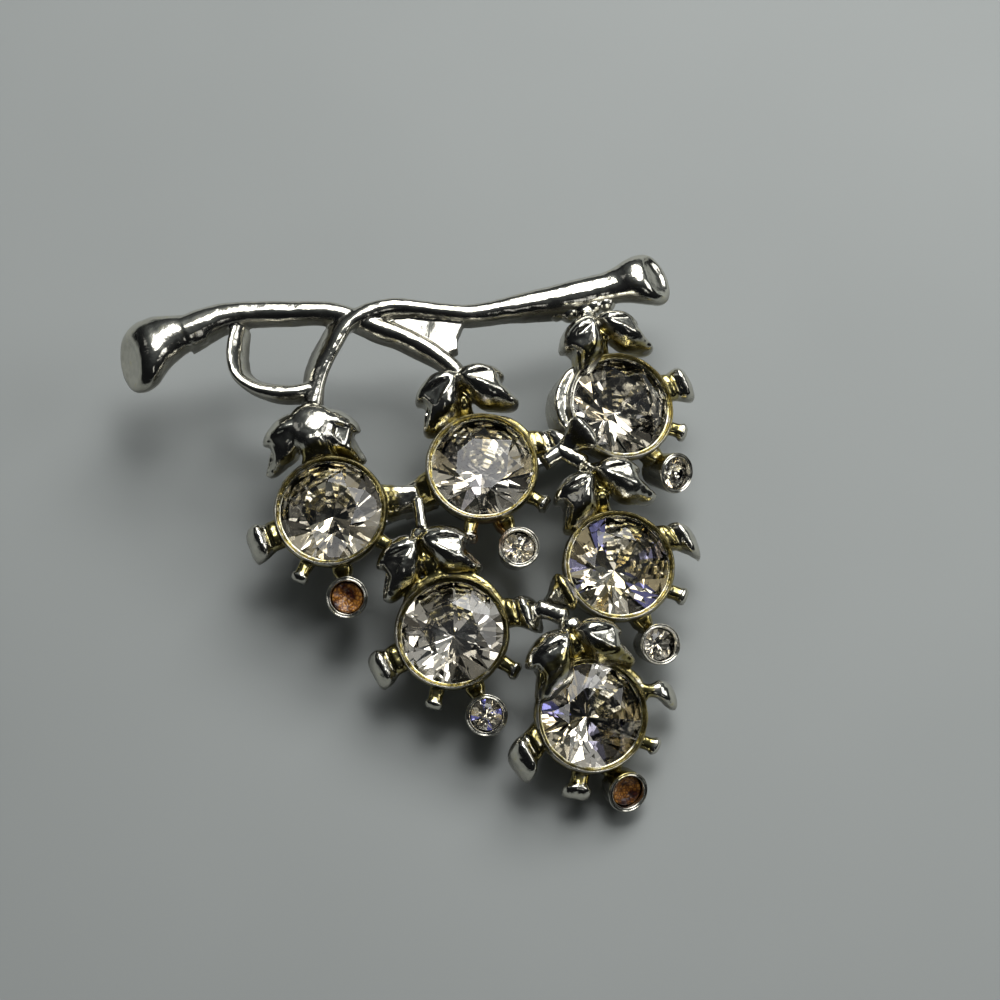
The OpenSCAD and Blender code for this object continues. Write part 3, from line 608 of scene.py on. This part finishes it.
# Outline of a right-hand leaf from its stem round its two lobes, and its two ridges with their heights
leaf_edge = [
    # across, down from the stem
    (-0.1, -0.5), (1.0, 0.0), (2.4, -0.2), (3.6, -1.1), (3.95, -2.1), (3.25, -2.55),
    (3.6, -3.6), (3.95, -4.7), (3.2, -5.2), (2.0, -4.75), (0.7, -4.1), (0.0, -2.3),
]
leaf_ridge = [(0.6, -1.2, 1.7), (1.3, -1.9, 2.1), (2.0, -2.7, 2.2), (2.6, -3.5, 1.9), (3.2, -4.4, 1.3)]
lobe_ridge = [(1.0, -1.0, 1.8), (2.0, -1.1, 1.9), (2.8, -1.4, 1.6), (3.3, -1.8, 1.2)]
cup_width, cup_depth = 9.6, 4.7
stone_width = 8.9
tube_width, tube_wall = 3.5, 0.37


def at_fruit(i):
    """The place and lean of a fruit's cup."""
    x, y, z, right, front, turn = fruits[i][:6]
    return (Matrix.Translation(Vector((x, y, z)) - Vector(middle))
            @ Matrix.Rotation(math.radians(right), 4, "Y") @ Matrix.Rotation(math.radians(front), 4, "X")
            @ Matrix.Rotation(math.radians(turn), 4, "Z"))


def at_bearing(degrees):
    return Matrix.Rotation(math.radians(degrees), 4, "Z")


def at_tube(i):
    """The place and lean of a fruit's small tube on its cup."""
    bearing, reach, drop, out = tubes[i][:4]
    return (at_bearing(bearing) @ Matrix.Translation((reach, 0, -drop))
            @ Matrix.Rotation(math.radians(out), 4, "Y"))


def lathe(profile, sides):
    """A closed ring turned from a profile of radius and height."""
    profile = np.array(profile, float)
    turn = np.linspace(0, 2 * math.pi, sides, endpoint=False)
    rings = [np.column_stack([profile[:, 0] * math.cos(a), profile[:, 0] * math.sin(a), profile[:, 1]])
             for a in turn]
    points = np.concatenate(rings)
    around = len(profile)
    faces = []
    for i in range(sides):
        for j in range(around):
            a, b = i * around + j, i * around + (j + 1) % around
            c, d = ((i + 1) % sides) * around + (j + 1) % around, ((i + 1) % sides) * around + j
            faces.append([a, b, c, d])
    return points, faces


# Half of a tab's rounded section from its foot: share of half the width, share of the thickness
tab_half = [(1.0, 1.0), (1.0, 0.55), (0.93, 0.33), (0.73, 0.13), (0.38, 0.01)]


def tab(root, tip, rows, slant=0.0):
    """A strap that runs outwards from the bearing of its root to that of its tip, with rounded edges."""
    rings = []
    for distance, width, top, thickness in smooth_line(rows, 3):
        half = width / 2
        outline = [(-half * w, top - thickness * d) for w, d in tab_half]
        outline += [(half * w, top - thickness * d) for w, d in tab_half[::-1]]
        share = (distance - rows[0][0]) / (rows[-1][0] - rows[0][0])
        ring = np.array([(distance, y, z + slant * y) for y, z in outline])
        rings.append(moved((ring, []), at_bearing(root + (tip - root) * share))[0])
    return loft(rings)


def swell(share, peak, spread):
    """1 at its peak, fading out smoothly on both sides."""
    return math.exp(-((share - peak) / spread) ** 2)


def one_leaf(long, broad, swing, outwards, up, hand):
    """A domed leaf, a left one with hand -1 and a right one with 1.

    Its rings are drawn in from the edge and up to the ridges, with a curled lip by the notch.
    """
    steps, tip_corner, notch_corner, notch_reach = 6, 7, 5.9, 1.6
    base, droop, round_over = 0.5, 0.12, 0.55
    edge = smooth_line(leaf_edge + leaf_edge[:1], steps)[:-1]
    ridges = np.concatenate([smooth_line(leaf_ridge, steps), smooth_line(lobe_ridge, steps)])
    along = np.array(leaf_edge[tip_corner]) / np.linalg.norm(leaf_edge[tip_corner])
    stretch = np.outer(along, along) * (long - broad) + np.eye(2) * broad
    edge = edge @ stretch
    ridges[:, :2] = ridges[:, :2] @ stretch
    nearest = np.argmin(np.linalg.norm(edge[:, None] - ridges[None, :, :2], axis=2), axis=1)
    to, high = ridges[nearest, :2], ridges[nearest, 2]
    corner = np.arange(len(edge)) / steps
    notch = np.clip(1 - np.abs(corner - notch_corner) / notch_reach, 0, 1) * (1.0 if hand < 0 else 0.5)
    rings = []
    for share, level in ((0.25, -1.9), (0.06, -1.3), (0.0, -0.8)):
        flat = edge + (to - edge) * share
        rings.append(np.column_stack([flat, level - droop * np.linalg.norm(flat, axis=1)]))
    for share in (0.0, 0.04, 0.1, 0.17, 0.26, 0.37, 0.5, 0.65, 0.82, 0.98):
        flat = edge + (to - edge) * share
        rise = high * (1 - (1 - share) ** 2) ** round_over
        lip = notch * (0.55 * swell(share, 0.05, 0.1) - 0.7 * swell(share, 0.34, 0.15))
        level = rise + lip - droop * np.linalg.norm(flat, axis=1) - base
        rings.append(np.column_stack([flat, level]))
    rings = [ring[::-1] if hand > 0 else ring * (-1, 1, 1) for ring in rings]
    turn = Matrix.Translation((outwards * hand, up, 0)) @ Matrix.Rotation(math.radians(swing * hand), 4, "Z")
    return moved(loft(rings), turn)


def stem(start, end, thick):
    """A round stem between two places of the sketch."""
    start, end = Vector(start) - Vector(middle), Vector(end) - Vector(middle)
    turn = (end - start).to_track_quat("Z", "Y").to_matrix().to_4x4()
    long = (end - start).length
    around = 16
    turn_round = np.linspace(0, 2 * math.pi, around, endpoint=False)
    rings = [np.column_stack([thick / 2 * w * np.cos(turn_round), thick / 2 * w * np.sin(turn_round),
                              np.full(around, z)])
             for w, z in ((0.4, -0.4), (0.9, -0.15), (1, 0.1), (0.9, long / 2), (1, long - 0.1),
                          (0.9, long + 0.15), (0.4, long + 0.4))]
    return moved(loft(rings), Matrix.Translation(start) @ turn)


def cup_profile(drop, ease):
    """Section of a cup's wall; ease draws its faces in, for the part that is melted into the rest."""
    r, bore, seat = cup_width / 2, stone_width / 2 + 0.08, drop + 0.3
    if ease:
        return [(bore + ease, -ease * 2), (r - ease, -ease * 2 - 0.2), (r - 0.2 - ease, -1.8),
                (r - 0.75 - ease, -3.5),
                (3.5, -cup_depth + ease), (1.4, -cup_depth + ease), (1.4, -cup_depth + 0.4),
                (3.2, -cup_depth + 0.6), (bore - 0.3, -seat - 0.2)]
    return [(bore, -0.15), (bore + 0.02, -0.04), (bore + 0.06, 0.0), (bore + 0.1, -0.02),
            (bore + 0.15, -0.09), (r - 0.04, -0.3), (r, -0.5),
            (r - 0.08, -1.2), (r - 0.2, -1.8), (r - 0.42, -2.7), (r - 0.75, -3.5), (r - 1.1, -4.3),
            (3.5, -cup_depth), (1.45, -cup_depth), (1.3, -cup_depth + 0.1), (1.3, -cup_depth + 0.4),
            (1.45, -cup_depth + 0.5), (3.3, -cup_depth + 0.7), (bore - 0.35, -seat - 0.2),
            (bore - 0.3, -seat - 0.05), (bore - 0.02, -seat), (bore, -seat + 0.1)]


def collar(start, end, reach, top, back):
    """A thicker stretch of a cup's wall between two bearings, drawn in below its knee like the cup."""
    inner, knee, draw, least = 4.65, -1.2, 0.28, 0.15
    inner_back = inner + (back - knee) * draw
    rings = []
    for bearing in np.linspace(end, start, 20):
        fullness = max(math.sin(math.pi * (bearing - start) / (end - start)), 0.0) ** 0.5
        out = inner + least + (reach - inner - least) * fullness
        section = [(inner_back, back), (inner, top), (out - 0.15, top), (out - 0.03, top - 0.12),
                   (out, top - 0.3), (out - 0.1, back)]
        rings.append(moved((np.array([(r, 0, z) for r, z in section]), []), at_bearing(bearing))[0])
    return loft(rings)


def tube_profile(long, ease):
    """Section of a tube's wall and of its floor, with the same ease."""
    r = tube_width / 2
    bore = r - tube_wall
    if ease:
        return [(bore + ease, -ease * 2), (r - ease, -ease * 2), (r - 0.3, -long), (0.02, -long),
                (0.02, -1.95), (bore - 0.3, -0.8), (bore + ease, -0.65)]
    return [(bore, -0.08), (bore + 0.04, 0.0), (bore + 0.09, 0.02), (bore + 0.13, -0.02),
            (bore + 0.17, -0.07), (r - 0.17, -0.07), (r - 0.13, -0.02), (r - 0.09, 0.02), (r - 0.04, 0.0),
            (r, -0.12), (r - 0.02, -0.5), (r - 0.15, -1.7), (r - 0.3, -long + 0.15), (r - 0.45, -long),
            (0.02, -long), (0.02, -1.9), (bore - 0.3, -0.75), (bore - 0.05, -0.62), (bore, -0.5)]


def in_cup(spots, here):
    """Places measured from the middle of a cup's rim, along the cup's own axes."""
    return (spots - np.array(here)[:3, 3]) @ np.array(here)[:3, :3]


def lift_off_stone(mesh, here, drop):
    """Raises what hangs over the stone just clear of its crown."""
    local = in_cup(places_of(mesh), here)
    out = np.hypot(local[:, 0], local[:, 1])
    clear, crown_slope, crown_share = 0.1, 0.85, 0.165
    edge = stone_width / 2
    crown = -drop + clear + np.clip((edge + 0.15 - out) * crown_slope, 0, crown_share * stone_width)
    inside = (out < edge + clear) & (local[:, 2] > -drop - 0.4) & (local[:, 2] < crown)
    local[inside, 2] = crown[inside]
    spots = local @ np.array(here)[:3, :3].T + np.array(here)[:3, 3]
    mesh.vertices.foreach_set("co", spots.astype(np.float32).ravel())
    mesh.update()


def tube_web(i):
    """The thin wall that joins a tube to its cup."""
    bearing, reach = tubes[i][:2]
    rings = []
    for x, half, top, low in ((3.9, 0.9, -1.7, -3.3), (4.9, 0.85, -1.75, -3.3),
                              (reach - 1.9, 0.6, -1.6, -3.05), (reach - 1.5, 0.55, -1.6, -3.0)):
        rings.append([(x, -half, low), (x, -half, top - 0.3), (x, -half * 0.6, top), (x, half * 0.6, top),
                      (x, half, top - 0.3), (x, half, low)])
    return moved(loft(rings), at_bearing(bearing))


def neck(bearing, reach, lift, width, crest):
    """The strap from a cup's rim up to the stem of its leaves."""
    return tab(bearing, bearing, [
        # distance, width, top, thickness
        (4.6, width * 1.2, crest - 0.5, 1.6),
        (5.3, width, crest + 0.2, 2.2),
        (6.2, width, crest + 0.7, 2.6),
        (6.9, width * 0.9, crest + 0.4, 2.3),
        (reach - 0.6, 1.8, lift - 0.2, 2.0),
        (reach, 1.5, lift - 0.5, 1.2),
    ])


def band(distance, line, width, full):
    """1 on a line and near it, falling to 0 at a distance."""
    return np.clip(full - np.abs(distance - line) / width, 0, 1)


# Stems that tie the leaf pairs and the straps to what they hang from, by the fruit's place in its
# list: both ends and the thickness
stems = {
    1: [((0.7, 1.6, 8.1), (1.1, -0.9, 8.3), 1.1)],
    2: [((15.2, 19.8, 8.6), (15.1, 17.6, 9.2), 1.8)],
    3: [((10.9, -7.4, 6.5), (12.9, -8.3, 6.9), 1.6)],
    4: [((12.6, 6.3, 8.2), (14.6, 5.0, 8.3), 1.6)],
}
# The knuckle under the first pair of leaves, and the lumps between the right twig and the third pair:
# place, width and height
solder_lumps = {
    0: [(-8.3, 7.8, 9.5, 4.4, 2.6)],
    2: [(12.5, 19.3, 8.6, 1.9, 2.0), (13.6, 19.1, 8.6, 1.8, 2.0), (14.7, 19.5, 8.9, 1.7, 1.9),
        (15.7, 19.6, 8.9, 1.8, 1.9), (16.8, 19.9, 8.9, 1.7, 1.8)],
}
# Thicker stretches of a cup's wall: from and to a bearing, out to a radius, top and back
collars = {
    1: [(20, 75, 5.1, -0.25, -2.6)],
    2: [(128, 212, 5.7, -0.9, -4.2)],
    3: [(20, 150, 5.3, -0.3, -2.2)],
    5: [(15, 60, 5.3, -0.4, -2.6)],
}
# Solder pads on the bar behind the upper row: fruit, place along the bar, height of the pad's top
pads = [(0, -2.2, 4.3), (0, 2.4, 4.4), (1, 11.0, 4.4), (1, 15.6, 4.4), (2, 22.8, 5.0), (2, 27.3, 4.2)]
bar_bearing, bar_top, pad_gap = 22.3, 3.2, 0.1
bar_place = Matrix.Translation(Vector((-6.4, 1.3, 0)) - Vector(middle)) @ at_bearing(bar_bearing)

# Where the glue has run over the second fruit, and where the third keeps its silver side: the fruit,
# the middle of the patch and its reach
glue_patch = (1, (6.7, -0.9, 6.4), 1.9)
silver_patch = (2, (13.6, 10.0, 8.0), 4.5)


def patch(i, spots, of_fruit, place, reach):
    """Over 1 in the middle of a patch on one fruit and fading out, 0 on the other fruits."""
    if i != of_fruit:
        return np.zeros(len(spots))
    return 1.6 * near(spots, Vector(place) - Vector(middle), reach)


for i, fruit in enumerate(fruits):
    drop = fruit[6]
    tube_long = tubes[i][4]
    bearing, reach, lift, tip, neck_width, crest, *leaves = leaf_pairs[i]
    here = at_fruit(i)
    forms = [
        lathe(cup_profile(drop, ease=0.07), 60),
        moved(lathe(tube_profile(tube_long, ease=0.06), 40), at_tube(i)),
        tube_web(i),
        neck(bearing, reach, lift, neck_width, crest),
    ]
    forms += [tab(*one_tab) for one_tab in fruit_tabs[i]]
    forms += [collar(*one_collar) for one_collar in collars.get(i, [])]
    pair_place = (at_bearing(bearing - 90) @ Matrix.Translation((0, reach, lift))
                  @ Matrix.Rotation(math.radians(tip), 4, "X"))
    forms.append(moved(one_leaf(*leaves[0], -1), pair_place))
    forms.append(moved(one_leaf(*leaves[1], 1), pair_place))
    forms = [moved(form, here) for form in forms]
    forms += [stem(*s) for s in stems.get(i, [])]
    forms += [moved(ball(*lump), home) for lump in solder_lumps.get(i, [])]
    for fruit_of_pad, along, top in pads:
        if fruit_of_pad == i:
            low = bar_top + pad_gap
            pad = lathe([(0.02, low), (1.0, low), (0.9, top), (0.02, top)], 24)
            forms.append(moved(pad, bar_place @ Matrix.Translation((along, 0, 0))))
    setting = pour("fruit_setting_%d" % (i + 1), forms, grain=0.115, rubs=6)

    # The turned rims are crisp, so they are put in after the rubbing
    melted = (places_of(setting.data), [list(p.vertices) for p in setting.data.polygons])
    crisp_cup = moved(lathe(cup_profile(drop, ease=0), 96), here)
    crisp_tube = moved(lathe(tube_profile(tube_long, ease=0), 48), here @ at_tube(i))
    setting.data = gather(setting.name, [melted, crisp_cup, crisp_tube])
    uneven_face(setting.data, amount=0.05, size=1.0)
    lift_off_stone(setting.data, here, drop)

    # Yellow shows round the rim and most on its far side, on the cup's wall, where the tabs start and in
    # the cleft between the leaves, which the knuckle closes on the first fruit
    spots = places_of(setting.data)
    local = in_cup(spots, here)
    height = local[:, 2]
    out = np.hypot(local[:, 0], local[:, 1])
    far_side = np.clip(0.5 + (local[:, 1] * 0.8 + local[:, 0] * 0.6) / 7, 0, 1)
    rim = band(out, 4.65, 0.45, 1.3) * (height > -1.6) * (0.1 + far_side * 0.9)
    wall = band(out, 4.9, 0.9, 1.3) * 0.8 * (height < -0.2)
    strap = band(out, 5.35, 0.55, 1.2) * 0.9 * (height > -1.2)
    stem_way = np.array((math.cos(math.radians(bearing)), math.sin(math.radians(bearing))))
    along = local[:, :2] @ stem_way
    beside = np.abs(local[:, 0] * stem_way[1] - local[:, 1] * stem_way[0])
    cleft = band(beside, 0, 0.7, 1.3) * (along > 4.3) * (along < reach - 0.8) * (height < 0.6) * (i > 0)
    yellow = np.maximum.reduce([rim, wall, strap, cleft]) - patch(i, spots, *silver_patch)

    # Painted shade darkens the steep sides and a ring just inside the rim, which are also grainy
    shaded_rim_ring = (np.abs(out - 4.67) < 0.2) * (height > -0.6)
    grain_shade_amounts = np.maximum(steepness(setting.data) * 0.8, 0.55 * shaded_rim_ring)
    finish_casting(setting, faint_wash + np.clip(yellow, 0, 1), grain_shade_amounts, patch(i, spots, *glue_patch))

# The large stones
# Six round brilliants of pressed glass with a silvered back, glued into the cups. The silver is
# laid on the pointed half, so each facet of it mirrors the light back up through the glass.


def cut_stone(width, pick):
    """Points and faces of a pressed brilliant, a little uneven: the crown first, then the back."""
    r = width / 2
    crown, girdle, pavilion = width * 0.16, width * 0.02, width * 0.4
    table_r, star_r, lower_r = r * 0.52, r * 0.76, r * 0.28
    half_facet = 22.5
    star_z = crown * (r - star_r * math.cos(math.radians(half_facet))) / (r - table_r)
    lower_z = -pavilion + (pavilion - girdle) * lower_r * math.cos(math.radians(half_facet)) / r

    def ring(count, radius, start, z):
        return [(radius * math.cos(math.radians(start + 360 / count * k)),
                 radius * math.sin(math.radians(start + 360 / count * k)), z) for k in range(count)]

    aside, deep = 0.06, 0.006
    back_ring = [(x * (1 + pick.normal(0, aside)), y * (1 + pick.normal(0, aside)),
                  z + width * pick.normal(0, deep)) for x, y, z in ring(8, lower_r, half_facet, lower_z)]
    points = (ring(8, table_r, 0, crown) + ring(8, star_r, half_facet, star_z) + ring(16, r, 0, 0)
              + ring(16, r, 0, -girdle) + back_ring + [(0, 0, -pavilion)])
    star, upper, under, lower, culet = 8, 16, 32, 48, 56
    top = [list(range(8))]
    bottom = []
    for k in range(8):
        a, b = 2 * k, 2 * k + 1
        c = (2 * k + 2) % 16
        top += [[k, star + k, (k + 1) % 8], [k, star + (k + 7) % 8, upper + a, star + k],
                [star + k, upper + a, upper + b], [star + k, upper + b, upper + c]]
        bottom += [[under + a, lower + k, under + b], [under + b, lower + k, under + c],
                   [under + a, lower + (k + 7) % 8, culet, lower + k]]
    for k in range(16):
        top.append([upper + k, under + k, under + (k + 1) % 16, upper + (k + 1) % 16])
    return points, top, bottom


glass, tree = new_material("pressed clear glass")
# Pressed crystal glass, clear and polished on each facet, with a few faint scuffs that blur what it
# mirrors
place = add(tree, "TexCoord", {})
scuffs = add(tree, "TexNoise", {"Vector": place.outputs["Object"], "Scale": 900.0, "Detail": 3.0})
worn = add(tree, "ValToRGB", {"Fac": scuffs.outputs["Fac"]})
stops(worn, (0.6, 0.0), (0.95, 0.04))
surface = add(tree, "BsdfPrincipled", {
    "Base Color": from_hex("#ffffff"), "Transmission Weight": 1.0, "IOR": 1.54,
    "Roughness": worn.outputs["Color"],
})
add(tree, "OutputMaterial", {"Surface": surface.outputs["BSDF"]})

foil, tree = new_material("silver foil behind glass")
# Chemical silver on the back facets. Each facet takes a random painted brightness: most mirror almost all
# light, some are darkened with painted shade to a smoky grey, and one now and then shows a painted blue
# violet flash of split light; a few look straw coloured, the silver's own tone. The silver has brown grey
# spots where it has aged
place = add(tree, "TexCoord", {})
facet_light_pick = add(tree, "Attribute", {}, attribute_name="facet_light")
facet_light_ramp = add(tree, "ValToRGB", {"Fac": facet_light_pick.outputs["Fac"]})
stops(facet_light_ramp, (0.0, from_hex("#57544e")), (0.25, from_hex("#a8a49a")), (0.5, from_hex("#fdfbf6")),
      (0.8, from_hex("#f8f2e2")), (0.96, from_hex("#dccda6")), (0.985, from_hex("#c9c8d8")),
      (1.0, from_hex("#4a54ee")))
spotting = add(tree, "TexNoise", {"Vector": place.outputs["Object"], "Scale": 1100.0, "Detail": 4.0})
aged = add(tree, "ValToRGB", {"Fac": spotting.outputs["Fac"]})
stops(aged, (0.28, from_hex("#8a8478")), (0.38, from_hex("#ffffff")))
silver = add(tree, "Mix", {0: 1.0, 6: facet_light_ramp.outputs["Color"], 7: aged.outputs["Color"]},
             data_type="RGBA", blend_type="MULTIPLY")
surface = add(tree, "BsdfPrincipled", {
    "Base Color": silver.outputs[2], "Metallic": 1.0, "Roughness": 0.03,
})
add(tree, "OutputMaterial", {"Surface": surface.outputs["BSDF"]})


def set_stone(name, width, where, seed):
    """Makes a stone with flat facets, glass on its crown and silver on its back."""
    pick = np.random.default_rng(seed)
    points, top, bottom = cut_stone(width, pick)
    mesh = bpy.data.meshes.new(name)
    mesh.from_pydata(points, [], top + bottom)
    mesh.materials.append(glass)
    mesh.materials.append(foil)
    mesh.polygons.foreach_set("material_index", [0] * len(top) + [1] * len(bottom))
    # Painted shade and highlight: a random value for each facet picks its painted brightness and painted
    # blue violet flash from the foil's ramp
    facet_light = mesh.attributes.new("facet_light", "FLOAT", "FACE")
    facet_light.data.foreach_set("value", pick.random(len(mesh.polygons)).astype(np.float32))
    mesh.transform(Matrix.Scale(mm, 4) @ where)
    stone = bpy.data.objects.new(name, mesh)
    bpy.context.scene.collection.objects.link(stone)
    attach(stone, "root")
    return stone


# Small bright things in the room that only the stones catch: bearing, height, size and strength
glints = [
    (178, 30, 0.06, 0.03), (150, 52, 0.04, 0.016), (205, 48, 0.06, 0.03), (120, 72, 0.04, 0.016),
    (240, 68, 0.05, 0.024), (60, 80, 0.04, 0.016), (-60, 62, 0.06, 0.03), (100, 55, 0.04, 0.016),
    (180, 82, 0.03, 0.01), (-110, 45, 0.06, 0.03), (185, 72, 0.22, 0.045),
]
glint_distance = 0.30
all_stones = bpy.data.collections.new("stones")
for k, (bearing, height, size, power) in enumerate(glints):
    card = put_card("glint_%d" % (k + 1), bearing, height, glint_distance, size, size, power)
    card.light_linking.receiver_collection = all_stones

# Each stone is glued in with its facets turned another way, by 11 degrees from one to the next
for i, fruit in enumerate(fruits):
    where = at_fruit(i) @ Matrix.Translation((0, 0, -fruit[6])) @ at_bearing(11 * (i + 1))
    stone = set_stone("large_stone_%d" % (i + 1), stone_width, where, i + 1)
    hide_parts("main_stone_%d" % (i + 1))
    all_stones.objects.link(stone)

# The small stones
# Four small brilliants of the same foiled glass, one in each tube that still has its stone, each
# turned another way.

chip_width, chip_drop = 2.6, 0.45
for i in (1, 2, 3, 4):
    where = at_fruit(i) @ at_tube(i) @ Matrix.Translation((0, 0, -chip_drop)) @ at_bearing(17 * (i + 1))
    stone = set_stone("chip_stone_%d" % (i + 1), chip_width, where, 20 + i)
    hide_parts("small_stone_%d" % (i + 1))
    all_stones.objects.link(stone)

# The old cement
# Two tubes have lost their stones. What is left in them is a dish of amber jeweller's cement,
# crackled, and browner where it still holds scraps of the stone's copper-backed foil.

amber_cement, tree = new_material("crackled amber cement")
# Aged resin cement: half clear and amber, broken into crackle cells of about 0.3 mm
place = add(tree, "TexCoord", {})
cells = add(tree, "TexVoronoi", {"Vector": place.outputs["Object"], "Scale": 3200.0},
            feature="DISTANCE_TO_EDGE")
cracks = add(tree, "ValToRGB", {"Fac": cells.outputs["Distance"]})
stops(cracks, (0.0, from_hex("#3a1c06")), (0.12, from_hex("#b06e20")), (0.6, from_hex("#edb455")))
flecks = add(tree, "TexNoise", {"Vector": place.outputs["Object"], "Scale": 900.0, "Detail": 4.0})
fleck_ramp = add(tree, "ValToRGB", {"Fac": flecks.outputs["Fac"]})
stops(fleck_ramp, (0.38, from_hex("#5a2c10")), (0.55, from_hex("#ffffff")))
colour = add(tree, "Mix", {0: 1.0, 6: cracks.outputs["Color"], 7: fleck_ramp.outputs["Color"]},
             data_type="RGBA", blend_type="MULTIPLY")
raised = add(tree, "Bump", {"Height": cells.outputs["Distance"], "Strength": 0.9, "Distance": 0.0001})
surface = add(tree, "BsdfPrincipled", {
    "Base Color": colour.outputs[2], "Roughness": 0.35, "Coat Weight": 0.5,
    "Normal": raised.outputs["Normal"],
})
add(tree, "OutputMaterial", {"Surface": surface.outputs["BSDF"]})

# The cement's outline from underneath, round its edge and down into the dish: radius, height and how
# lumpy it is there
cement_rows = [
    (0.25, -1.5, 0.03), (0.9, -0.8, 0.16), (1.28, -0.5, 0.03), (1.24, -0.42, 0.03),
    (1.1, -0.42, 0.16), (0.85, -0.56, 0.16), (0.6, -0.72, 0.16), (0.3, -0.8, 0.16),
]
lump_step = 2.1

for i in (0, 5):
    rings = []
    turn = np.linspace(0, 2 * math.pi, 48, endpoint=False)
    for radius, height, lumpy in cement_rows:
        wave = radius * lump_step
        bumps = [noise.noise(Vector((wave * math.cos(a), wave * math.sin(a), i))) for a in turn]
        rings.append(np.column_stack([radius * np.cos(turn), radius * np.sin(turn),
                                      height + np.array(bumps) * lumpy]))
    points, sides = moved(loft(rings), at_fruit(i) @ at_tube(i))
    mesh = bpy.data.meshes.new("cement_%d" % (i + 1))
    mesh.from_pydata([tuple(p) for p in points], [], sides)
    mesh.transform(Matrix.Scale(mm, 4))
    mesh.materials.append(amber_cement)
    mesh.polygons.foreach_set("use_smooth", [True] * len(mesh.polygons))
    dish = bpy.data.objects.new("cement_%d" % (i + 1), mesh)
    bpy.context.scene.collection.objects.link(dish)
    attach(dish, "root")
    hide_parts("old_cement_%d" % (i + 1))

# The pin on the back
# A flat stamped steel bar soldered across the upper cups, with its hinge, stem and hook.

steel, tree = new_material("plated pin steel")
# Stamped and plated spring steel: bright but plain, with drawing lines about 0.1 mm apart
place = add(tree, "TexCoord", {})
turned = add(tree, "Mapping", {
    "Vector": place.outputs["Object"], "Rotation": (0, 0, math.radians(-bar_bearing)),
    "Scale": (60.0, 9000.0, 9000.0),
})
lines = add(tree, "TexNoise", {"Vector": turned.outputs["Vector"], "Scale": 1.0, "Detail": 2.0})
tone = add(tree, "ValToRGB", {"Fac": lines.outputs["Fac"]})
stops(tone, (0.3, from_hex("#a7a6a2")), (0.7, from_hex("#cfcecb")))
roughness = add(tree, "ValToRGB", {"Fac": lines.outputs["Fac"]})
stops(roughness, (0.3, 0.22), (0.7, 0.34))
raised = add(tree, "Bump", {"Height": lines.outputs["Fac"], "Strength": 0.2, "Distance": 0.00002})
surface = add(tree, "BsdfPrincipled", {
    "Base Color": tone.outputs["Color"], "Metallic": 1.0, "Roughness": roughness.outputs["Color"],
    "Normal": raised.outputs["Normal"],
})
add(tree, "OutputMaterial", {"Surface": surface.outputs["BSDF"]})
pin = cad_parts["pin_back"]
pin.data.materials.clear()
pin.data.materials.append(steel)
